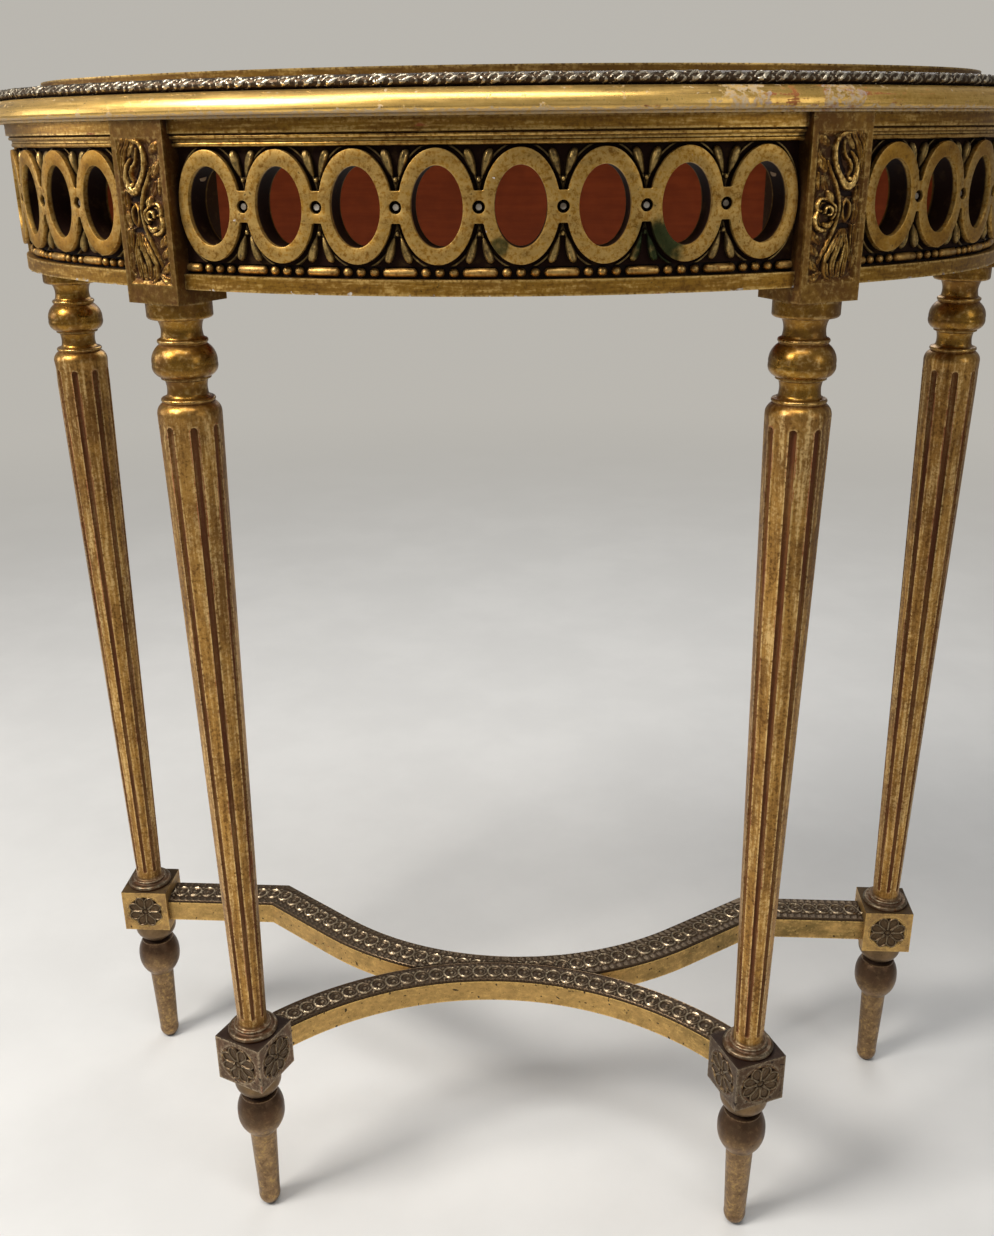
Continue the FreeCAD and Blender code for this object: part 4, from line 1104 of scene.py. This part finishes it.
# strokes of the pilaster carving: points of x, height, half width and relief in mm, then the depth of a vein
ORNAMENT = (
    # curving stem from the top left, round the flower, to the foot
    ([(8.2, 66.7, 1.0, 3.0), (11.7, 59.9, 1.1, 3.5), (15.8, 52.3, 1.2, 4.0), (18.0, 43.2, 1.2, 4.1),
      (17.0, 34.1, 1.2, 3.9), (13.1, 24.3, 1.3, 3.6), (6.6, 11.4, 1.1, 2.8)], 0),
    # almond-shaped leaf: outline, curl inside it, frayed tip
    ([(22.5, 82.6, 1.2, 2.6), (15.8, 80.2, 1.4, 3.6), (12.9, 75.8, 1.4, 4.2), (12.4, 70.5, 1.4, 4.5),
      (14.0, 64.4, 1.5, 4.5), (17.6, 58.4, 1.8, 4.5), (22.5, 53.4, 2.4, 4.6), (26.6, 55.4, 2.2, 4.6),
      (28.6, 61.4, 1.6, 4.3), (27.3, 67.4, 1.3, 4.1), (24.2, 71.4, 1.0, 3.4)], 0.3),
    ([(18.6, 77.5, 0.9, 3.0), (18.8, 73.4, 1.0, 3.4), (20.0, 69.7, 1.0, 3.7), (23.4, 66.4, 1.1, 3.7),
      (24.6, 62.4, 1.1, 3.5), (22.8, 59.0, 1.0, 3.2)], 0),
    ([(21.0, 54.8, 1.5, 4.5), (21.4, 54.8, 1.5, 4.5)], 0),
    ([(24.8, 53.4, 1.5, 4.6), (25.2, 53.4, 1.5, 4.6)], 0),
    ([(23.4, 57.2, 1.4, 4.7), (23.8, 57.2, 1.4, 4.7)], 0),
    # blades behind it
    ([(24.0, 82.4, 1.2, 2.6), (28.4, 75.8, 1.7, 3.6), (30.2, 69.0, 1.6, 3.9), (30.3, 61.4, 1.4, 3.4),
      (29.2, 54.4, 1.0, 2.6)], 1.1),
    ([(29.5, 82.0, 1.3, 2.2), (32.2, 76.0, 1.5, 3.0), (32.6, 69.0, 1.3, 3.0), (32.2, 62.0, 1.0, 2.4)], 0.9),
    ([(20.0, 82.2, 1.2, 2.2), (22.6, 78.2, 1.5, 3.2), (25.4, 74.0, 1.2, 3.0)], 0.8),
    # lobes at the upper left
    ([(2.4, 79.8, 1.6, 2.2), (4.8, 78.0, 2.4, 3.4), (7.6, 76.2, 1.8, 2.6)], 0.8),
    ([(2.4, 70.4, 1.8, 2.0), (4.6, 66.5, 2.6, 3.5), (7.0, 62.6, 1.8, 3.0)], 0.9),
    ([(2.8, 60.5, 1.2, 2.4), (2.2, 56.0, 1.1, 3.0), (3.8, 52.2, 1.1, 2.4)], 0),
    ([(6.0, 58.4, 1.5, 2.4), (7.4, 54.6, 2.3, 2.6), (9.6, 51.6, 1.3, 2.2)], 0.8),
    # petals of the flower
    ([(10.6, 49.4, 2.0, 3.4), (11.6, 47.4, 2.6, 4.2), (12.6, 45.6, 1.8, 3.6)], 0.5),
    ([(8.6, 46.6, 0.9, 3.8), (4.8, 46.8, 1.1, 4.2), (2.6, 44.0, 1.1, 4.2), (3.0, 41.0, 1.0, 4.0),
      (5.6, 40.2, 0.9, 3.6)], 0),
    ([(7.6, 44.6, 0.7, 3.2), (5.4, 44.4, 0.8, 3.4), (4.6, 42.6, 0.8, 3.2)], 0),
    ([(3.0, 39.6, 0.9, 3.8), (1.8, 35.8, 1.1, 4.0), (3.4, 31.6, 1.2, 4.2), (6.4, 29.8, 1.4, 4.2),
      (9.6, 29.4, 1.2, 3.6)], 0),
    ([(4.8, 37.8, 0.7, 3.0), (4.2, 34.8, 0.8, 3.2), (5.8, 32.4, 0.8, 3.2)], 0),
    ([(8.4, 32.6, 1.5, 3.8), (11.4, 32.0, 1.8, 4.2), (14.0, 34.0, 1.2, 3.6)], 0.5),
    ([(12.6, 44.6, 0.9, 3.6), (15.0, 42.6, 1.1, 4.2), (15.4, 39.0, 1.1, 4.2), (13.6, 36.0, 1.0, 4.0)], 0),
    # coiled eye
    ([(8.0, 39.4, 0.9, 4.4), (8.8, 41.8, 1.0, 4.6), (11.2, 42.4, 1.0, 4.7), (13.0, 40.6, 1.0, 4.7),
      (12.4, 38.2, 0.9, 4.6), (10.4, 38.0, 0.8, 4.4)], 0),
    # bud between the leaves
    ([(23.4, 46.6, 0.9, 2.6), (20.9, 42.5, 1.1, 3.6), (21.2, 37.4, 1.1, 3.6), (23.6, 33.8, 0.8, 2.6)], 0),
    ([(23.4, 46.6, 0.9, 2.6), (25.8, 42.6, 1.1, 3.9), (25.6, 37.0, 1.1, 3.6), (23.6, 33.8, 0.8, 2.6)], 0),
    # leaf strip down the right edge
    ([(30.8, 53.0, 1.5, 2.6), (30.2, 47.5, 2.1, 3.4), (30.4, 43.4, 1.4, 2.6)], 1.0),
    ([(30.6, 43.4, 1.3, 2.4), (30.0, 38.4, 2.0, 3.3), (30.2, 33.5, 1.3, 2.4)], 1.0),
    ([(28.4, 31.6, 0.7, 3.0), (28.2, 22.0, 0.7, 3.4), (28.8, 12.0, 0.7, 2.8)], 0),
    ([(31.4, 31.0, 1.2, 2.4), (31.0, 25.0, 1.7, 3.3), (31.4, 19.0, 1.1, 2.4)], 0.9),
    ([(31.4, 18.4, 1.1, 2.2), (31.2, 12.0, 1.6, 3.0), (30.8, 6.0, 1.1, 2.0)], 0.9),
    # fan of leaves at the foot
    ([(20.4, 28.0, 1.4, 3.2), (15.0, 19.5, 2.0, 4.5), (11.8, 11.5, 2.1, 4.5), (13.0, 5.0, 2.0, 3.6),
      (16.2, 2.4, 1.4, 2.4)], 1.4),
    ([(21.6, 28.6, 1.4, 3.4), (19.0, 19.0, 1.9, 4.7), (16.4, 11.0, 1.9, 4.5), (17.6, 4.6, 1.7, 3.4)], 1.4),
    ([(22.6, 29.4, 1.5, 3.6), (22.8, 19.0, 1.9, 4.8), (21.2, 11.0, 1.9, 4.5), (21.4, 4.0, 1.6, 3.2)], 1.4),
    ([(23.6, 28.6, 1.4, 3.4), (25.6, 19.0, 1.8, 4.5), (25.2, 11.0, 1.8, 4.1), (25.2, 4.0, 1.4, 3.0)], 1.4),
    # small lobes down the left edge
    ([(1.6, 28.6, 1.4, 2.0), (3.4, 25.6, 2.3, 3.3), (6.6, 22.6, 1.5, 2.6)], 0.9),
    ([(1.4, 21.0, 1.3, 2.0), (3.2, 18.4, 2.1, 3.3), (5.8, 16.0, 1.3, 2.4)], 0.9),
    ([(1.6, 12.6, 1.3, 2.0), (3.6, 9.6, 2.2, 3.3), (6.8, 7.6, 1.4, 2.4)], 0.9),
    ([(2.0, 3.6, 1.4, 2.0), (5.0, 3.4, 2.1, 3.0), (8.4, 5.6, 1.5, 2.6)], 0.9),
)
ORNAMENT_CUTS = (
    ([(16.2, 77.0, 0.8, 1.5), (15.8, 71.0, 1.6, 3.2), (17.6, 64.6, 1.9, 3.4), (20.6, 61.0, 1.3, 2.4)], 0),
    ([(18.6, 50.6, 1.2, 2.6), (22.4, 49.6, 1.7, 3.0), (26.8, 49.0, 1.2, 2.4)], 0),
    ([(19.6, 44.4, 0.7, 2.6), (19.3, 39.0, 0.8, 2.8), (19.2, 34.0, 0.9, 2.8)], 0),
    ([(27.6, 46.0, 0.7, 2.6), (27.5, 40.0, 0.7, 2.8), (27.2, 34.0, 0.8, 2.8)], 0),
    ([(19.0, 31.2, 1.2, 2.8), (22.6, 31.6, 1.5, 3.0), (26.6, 31.2, 1.1, 2.8)], 0),
    ([(23.2, 22.0, 0.5, 2.0), (20.6, 14.2, 1.2, 4.2), (19.8, 12.4, 0.6, 2.6)], 0),
    ([(15.8, 17.8, 0.5, 2.0), (13.4, 12.4, 0.9, 3.4), (13.0, 10.8, 0.5, 2.0)], 0),
    ([(23.4, 43.4, 0.6, 1.6), (23.3, 39.6, 0.8, 2.0), (23.5, 36.8, 0.5, 1.4)], 0),
)


class PIERTABLE_OT_pilaster_carving(bpy.types.Operator):
    """Carved scroll, rosette and leaf in each pilaster's panel"""
    bl_idname = "pier_table.pilaster_carving"
    bl_label = "Pilaster carving"

    ground, spread, gain = 1.1, 1.25, 1.06
    lowest, highest, panel_depth = -2.35, 2.5, 2.5

    def execute(self, context):
        wide, tall = mm("ornament_width"), mm("ornament_height")
        for leg in LEGS:
            piece, across, up, front = slab("carving_" + leg, 96, 232)
            u, v = across * wide, up * tall
            level = carve(u, v, ORNAMENT, self.ground, self.spread)
            chisel = np.sin(2.6 * u + 1.4 * np.sin(v / 4.1)) * (0.6 + 0.4 * np.sin(0.5 * v))
            level = level + 0.20 * chisel * np.clip(level - 1.2, 0, 1) - carve(u, v, ORNAMENT_CUTS)
            edge = np.minimum(np.minimum(u, wide - u), np.minimum(v, tall - v))
            raised = (level - self.ground) * np.clip(edge / 0.7, 0, 1) * self.gain
            sunk = 0.05 + 1.65 * np.clip(edge / 3.2, 0, 1)
            out = np.where(front, np.clip(raised - sunk, self.lowest, self.highest), -self.panel_depth)
            turn = side_of(leg) * (turn_of("pilaster_angle") if "front" in leg else math.pi / 2)
            flat = np.column_stack([side_of(leg) * (u - wide / 2), mm("ornament_bottom") + v, out])
            set_points(piece, leg_place(leg, turn)(flat))
            store(piece, "relief", np.clip((out + 2.4) / 4.6, 0, 1))
            finish_piece(piece, "carved_leaf", ["pilaster_ornament_" + leg], 50)
        return {"FINISHED"}


class PIERTABLE_OT_block_rosettes(bpy.types.Operator):
    """Carved flowers on the faces of the stretcher blocks"""
    bl_idname = "pier_table.block_rosettes"
    bl_label = "Block rosettes"

    turns = {"front_left": (0, 90, -90), "front_right": (0, 90, -90),
             "rear_left": (0, -90), "rear_right": (0, 90)}
    field_start, field_rise = 13.2, 2.6

    def execute(self, context):
        radius, sunk = mm("medallion_radius"), mm("medallion_depth")
        petals = flower(3.4, 16.2, 4.5, 2.3, 8)
        for leg in LEGS:
            base = side_of(leg) * turn_of("lower_block_angle") if "front" in leg else 0
            made = []
            for extra in self.turns[leg]:
                piece, across, up, front = slab("flower", 88, 88)
                a, b = across * 2 - 1, up * 2 - 1
                u, v = radius * a * np.sqrt(1 - b**2 / 2), radius * b * np.sqrt(1 - a**2 / 2)
                away = np.hypot(u, v)
                level = carve(u, v, petals, 0.35) * np.clip((radius - away) / 0.6, 0, 1)
                share = (away - self.field_start) / self.field_rise
                filled = (sunk - 0.12) * np.clip(share, 0, 1)
                field = (level < filled) * np.clip((away - 13.8) / 1.2, 0, 1)
                level = np.maximum(level, filled)
                out = np.where(front, 0.1 - sunk + level, -sunk)
                flat = np.column_stack([u, mm("block_middle") + v, out])
                set_points(piece, leg_place(leg, base + math.radians(extra))(flat))
                store(piece, "relief", np.clip(level / 2.4, 0, 1))
                store(piece, "field", field)
                made.append(piece)
            finish_piece(joined("flowers_" + leg, made), "rosette_" + leg.split("_")[0],
                         ["rosettes_" + leg], 50)
        return {"FINISHED"}


def coin_relief(s, t, half, middle):
    """Height of a chain of overlapping rings at s along and t across a strip, in mm."""
    pitch = mm("coin_pitch")
    wobble = 0.25 * np.sin(s / 23.0) + 0.2 * np.sin(s / 7.9 + 1.0)
    u = (s / pitch + 0.5) % 1 * pitch - pitch / 2
    border = bell((np.abs(t) - (half - 0.9)) / 0.55)
    t = t - wobble
    levels = [border, 0.30 + 0.12 * np.sin(s * 1.9) * np.sin(t * 2.3)]
    for shift in (u + pitch, u, u - pitch):
        r = np.hypot(shift, (t - middle) * 0.92)
        levels.append(1.9 * (1 - 0.42 * np.clip(shift / 6, -0.2, 1)) * bell((r - 6.0) / 0.95))
        levels.append(1.2 * bell((r - 3.7) / 0.7) * (shift > -2.6))
        levels.append(1.5 * dome(np.hypot(shift - 0.5, t - middle + 0.3) / 2.0))
    for side in (-1, 1):
        levels.append(1.5 * dome(np.hypot(np.abs(u) - pitch / 2, t - middle - side * 6.8) / 1.7))
        levels.append(0.9 * dome(np.hypot(np.abs(u) - pitch / 4, (t - middle - side * 9.0) * 0.8) / 1.5))
        if half > 13:
            scallop = np.hypot((u / pitch * 2 + 0.25) % 1 * pitch / 2 - pitch / 4, t - side * (half - 3.4))
            levels.append(0.95 * dome((scallop - 1.4) / 1.5) * (scallop < 2.9))
    return np.clip(np.max(levels, axis=0), 0, 2)


class PIERTABLE_OT_coin_strips(bpy.types.Operator):
    """Coin carving on top of the stretcher rails"""
    bl_idname = "pier_table.coin_strips"
    bl_label = "Coin strips"

    step = 0.78
    border = 1.0
    front_end, rear_end = 15, 20.5

    def strip(self, name, node, long, wide, path, middle, far_edge=None):
        """Coin strip; path(s, t) gives distance travelled, x and y, far_edge(s) where its width ends."""
        piece, across, up, front = slab(name, int(long / self.step), int(wide / self.step))
        s = across * long
        far = far_edge(s) if far_edge else wide / 2
        t = up * (far + wide / 2) - wide / 2
        travelled, x, y = path(s, t)
        level = coin_relief(travelled, t, wide / 2, middle)
        set_points(piece, x, y, mm("rail_top") + np.where(front, level - 0.7, -2.0))
        store(piece, "relief", np.clip(level / 1.8, 0, 1))
        finish_piece(piece, "bronzed", [node], 50)

    def execute(self, context):
        radius, centre = mm("front_rail_radius"), mm("front_rail_centre")
        wide = mm("seam_width") - 0.75
        middle = radius + 0.5 + wide / 2
        end = math.asin((mm("front_axis_x") - self.front_end) / middle) * middle

        def front_path(s, t):
            turn = (s - end) / middle
            return s, (middle + t) * np.sin(turn), centre + (middle + t) * np.cos(turn)

        self.strip("coins_front", "coin_strip_front", 2 * end, wide, front_path, -1.2)

        width = mm("rear_rail_width")
        turn = turn_of("rear_rail_turn")
        back_radius = mm("rear_rail_radius")
        centre_y = mm("rear_rail_back") + back_radius
        mid = back_radius + width / 2
        arc = mid * turn
        back_x, back_y = back_radius * math.sin(turn), centre_y - back_radius * math.cos(turn)
        kink_y = back_y + (mm("rear_rail_kink") - back_x) * math.tan(turn) - width / 2
        mitre = math.tan(turn / 2)
        kink_x = mm("rear_rail_kink") + width / 2 * mitre
        slope = math.hypot(kink_x - mid * math.sin(turn), kink_y - centre_y + mid * math.cos(turn))
        straight = mm("rear_axis_x") - self.rear_end - kink_x
        bend, reach = arc + slope, arc + slope + straight

        def rear_path(s, t):
            along = np.abs(s - reach)
            along = np.where(np.abs(along - bend) < self.step / 2, bend, along)
            on_end = along >= bend
            travelled = np.where(on_end, bend + mitre * t + (along - bend) * (1 - mitre * t / straight),
                                 along * (1 + mitre * t / bend))
            bow, run = np.minimum(travelled, arc) / mid, np.maximum(travelled - arc, 0)
            x = np.where(on_end, kink_x + travelled - bend, (mid + t) * np.sin(bow) + run * math.cos(turn))
            y = np.where(on_end, kink_y - t, centre_y - (mid + t) * np.cos(bow) + run * math.sin(turn))
            return travelled, np.where(s < reach, -x, x), y

        def seam_edge(s):
            """How far the strip is wide before it meets the front rail's seam."""
            bow = np.minimum(np.abs(s - reach), arc) / mid
            apart, seam = centre_y - centre, radius + mm("seam_width")
            meets = apart * np.cos(bow) - np.sqrt(np.maximum(seam**2 - (apart * np.sin(bow))**2, 0))
            return np.minimum(meets - mid, (width - self.border) / 2)

        self.strip("coins_rear", "coin_strip_rear", 2 * reach, width - self.border, rear_path, 0, seam_edge)
        return {"FINISHED"}


class PIERTABLE_OT_carved_band(bpy.types.Operator):
    """Running leaf carving round the edge of the top"""
    bl_idname = "pier_table.carved_band"
    bl_label = "Carved band"

    joint, end, step, pitch = 208.5, 512.4, 0.7, 13.0
    # section of the band: distance out from the plan and height
    profile = np.array([(1.0, 860.2), (2.4, 860.9), (4.0, 862.2), (4.7, 863.4), (4.1, 864.9), (2.7, 866.1),
                        (0.7, 866.9), (-2.6, 867.2)])
    leaves = (
        ([(-7.4, 2.0, 0.7, 1.0), (-4.0, 2.6, 1.1, 1.5), (-1.0, 4.8, 1.3, 1.9), (2.4, 7.4, 1.0, 1.5),
          (4.6, 9.4, 0.7, 0.9)], 0.7),
        ([(-6.0, 5.4, 0.6, 1.0), (-3.6, 7.6, 1.0, 1.6), (-0.6, 8.6, 1.1, 1.6), (0.6, 7.2, 0.7, 1.2)], 0.4),
        ([(0.4, 1.8, 0.7, 0.9), (3.4, 2.2, 1.0, 1.4), (5.2, 4.2, 1.1, 1.5), (4.0, 6.0, 0.7, 1.2),
          (2.6, 5.4, 0.5, 0.9)], 0.4),
        ([(-6.2, 9.6, 0.5, 0.8), (-4.4, 9.9, 0.7, 1.1), (-2.4, 10.4, 0.5, 0.8)], 0),
        disc(-3.4, 4.9, 0.9, 1.7), disc(0.8, 4.2, 0.7, 1.5),
        disc(5.8, 7.9, 0.9, 1.4), disc(-0.8, 1.5, 0.8, 1.3),
    )

    def execute(self, context):
        out, z = self.profile.T
        run = np.concatenate([[0], np.cumsum(np.hypot(np.diff(out), np.diff(z)))])
        pitch = self.pitch
        strokes = [([(x + shift, *rest) for x, *rest in points], vein)
                   for shift in (-pitch, 0, pitch) for points, vein in self.leaves]
        for name, low, high in (("left", -self.end, -self.joint), ("front", -self.joint, self.joint),
                                ("right", self.joint, self.end)):
            piece, across, up, front = slab("leaf_band_" + name, int((high - low) / self.step), 18)
            s, t = low + across * (high - low), up * run[-1]
            drift = s + 1.5 * np.sin(s / 29.0) + 0.9 * np.sin(s / 11.3 + 1.0)
            rise = t + 0.5 * np.sin(s / 8.3) * np.sin(s / 37.0 + 0.6)
            u = (drift / pitch + 0.5) % 1 * pitch - pitch / 2
            level = carve(u, rise, strokes) * (0.86 + 0.14 * np.sin(s / 5.7 + 2.0 * np.sin(s / 41.0)))
            level *= np.clip(np.minimum(t, run[-1] - t) / 0.6, 0.2, 1)
            lift = np.where(front, level - 0.5, -1.4)
            x, y = on_plan(s, np.interp(t, run, out) + lift * np.interp(t, run, np.gradient(z, run)))
            set_points(piece, x, y, np.interp(t, run, z) - lift * np.interp(t, run, np.gradient(out, run)))
            store(piece, "relief", np.clip(level / 1.7, 0, 1))
            finish_piece(piece, "band_bronze", (), 50)
        return {"FINISHED"}


class PIERTABLE_OT_stage(bpy.types.Operator):
    """Floor, lights and camera"""
    bl_idname = "pier_table.stage"
    bl_label = "Stage"

    # place, point it shines at, width and height, watts, tint
    lamps = {
        "key": ((-1.5, -0.9, 2.2), (0, 0, 0.55), (0.8, 0.7), 56, (1.0, 0.97, 0.93)),
        "side": ((-2.3, 0.1, 1.1), (0, 0, 0.7), (0.7, 0.7), 6, (1.0, 0.98, 0.95)),
        "fill": ((1.7, -1.3, 1.4), (0, 0, 0.5), (0.6, 1.2), 5, (1, 1, 1)),
        "overhead": ((-0.2, -0.7, 2.5), (0, 0.1, 0.5), (1.4, 0.5), 20, (1, 1, 1)),
        "rear": ((0.4, 2.0, 1.8), (0, 0, 0.5), (1.4, 1.4), 12, (1, 1, 1)),
    }
    sky, sky_strength = (0.97, 0.98, 1.0), 0.27
    fade_start, fade_end = 0.9, 3.2
    camera_place = (0.0553, -0.8502, 0.8362)
    yaw, pitch, roll = -0.0668, 0.3745, -0.0112
    sensor, focal_length = 36, 1231.33 / 1236 * 36

    def lay_floor(self):
        floor = primitive("plane", "floor", size=30, location=(0, 0, 0))
        made = bpy.data.materials.new("pale_floor")
        made.use_nodes = True
        graph = Graph(made.node_tree)
        surface = made.node_tree.nodes["Principled BSDF"]
        place = graph.place()
        veil = graph.noise(place, 5, 5, 0.6).ramp(0.35, 0.7)
        graph.feed(surface.inputs["Base Color"], veil.mix(rgb("floor", 0.94), rgb("floor")))
        surface.inputs["Roughness"].default_value = 0.6
        glow = graph.node("Emission", {"Color": (*rgb("backdrop"), 1)})
        away = graph.node("VectorMath", {0: place}, "Value", operation="LENGTH")
        faded = away.ramp(self.fade_start, self.fade_end) * graph.node("LightPath", output="Is Camera Ray")
        both = graph.node("MixShader", {0: faded, 1: Value(graph, surface.outputs[0]), 2: glow})
        graph.feed(made.node_tree.nodes["Material Output"].inputs["Surface"], both)
        floor.data.materials.append(made)

    def backdrop(self, scene):
        scene.world = bpy.data.worlds.new("studio")
        scene.world.use_nodes = True
        graph = Graph(scene.world.node_tree)
        seen = graph.node("LightPath", output="Is Camera Ray")
        back = graph.tree.nodes["Background"].inputs
        graph.feed(back["Color"], seen.mix(self.sky, rgb("backdrop")))
        graph.feed(back["Strength"], seen.blend(self.sky_strength, 1.0))

    def lamp(self, name, place, aim, size, watts, tint):
        data = bpy.data.lights.new(name, "AREA")
        data.shape = "RECTANGLE"
        data.size, data.size_y = size
        data.energy, data.color = watts, tint
        made = bpy.data.objects.new(name, data)
        made.location = place
        made.rotation_euler = (Vector(aim) - Vector(place)).to_track_quat("-Z", "Y").to_euler()
        bpy.context.collection.objects.link(made)

    def camera(self, scene):
        data = bpy.data.cameras.new("camera")
        scene.camera = bpy.data.objects.new("camera", data)
        bpy.context.collection.objects.link(scene.camera)
        level, drop = math.cos(self.pitch), math.sin(self.pitch)
        forward = Vector((math.sin(self.yaw) * level, math.cos(self.yaw) * level, -drop))
        right = Vector((math.cos(self.yaw), -math.sin(self.yaw), 0))
        up = right.cross(forward)
        tilt, lean = math.cos(self.roll), math.sin(self.roll)
        right, up = tilt * right + lean * up, tilt * up - lean * right
        turn = Matrix((right, up, -forward)).transposed().to_4x4()
        scene.camera.matrix_world = Matrix.Translation(self.camera_place) @ turn
        data.sensor_width, data.lens, data.clip_start = self.sensor, self.focal_length, 0.02

    def execute(self, context):
        self.lay_floor()
        self.backdrop(context.scene)
        for name, facts in self.lamps.items():
            self.lamp(name, *facts)
        self.camera(context.scene)
        context.scene.view_settings.view_transform = "Standard"
        return {"FINISHED"}


STEPS = ("finish_solids", "oval_rings", "bead_course", "frieze_leaves", "pilaster_carving", "block_rosettes",
         "coin_strips", "carved_band", "stage")


class PIERTABLE_PT_panel(bpy.types.Panel):
    bl_label = "Pier Table"
    bl_idname = "PIERTABLE_PT_panel"
    bl_space_type = "VIEW_3D"
    bl_region_type = "UI"
    bl_category = "Pier Table"

    def draw(self, context):
        layout = self.layout
        for step in STEPS:
            layout.operator("pier_table." + step)
        for holder in (context.scene.pier_table_sizes, context.scene.pier_table_colours):
            column = layout.column(align=True)
            for name in holder.__annotations__:
                column.prop(holder, name)


CLASSES = (PierTableSizes, PierTableColours, PIERTABLE_OT_finish_solids, PIERTABLE_OT_oval_rings,
           PIERTABLE_OT_bead_course, PIERTABLE_OT_frieze_leaves, PIERTABLE_OT_pilaster_carving,
           PIERTABLE_OT_block_rosettes, PIERTABLE_OT_coin_strips, PIERTABLE_OT_carved_band,
           PIERTABLE_OT_stage, PIERTABLE_PT_panel)


def register():
    for item in CLASSES:
        bpy.utils.register_class(item)
    bpy.types.Scene.pier_table_sizes = bpy.props.PointerProperty(type=PierTableSizes)
    bpy.types.Scene.pier_table_colours = bpy.props.PointerProperty(type=PierTableColours)


def unregister():
    del bpy.types.Scene.pier_table_colours
    del bpy.types.Scene.pier_table_sizes
    for item in reversed(CLASSES):
        bpy.utils.unregister_class(item)


def main():
    register()
    for step in STEPS:
        getattr(bpy.ops.pier_table, step)()


if __name__ == "__main__":
    main()
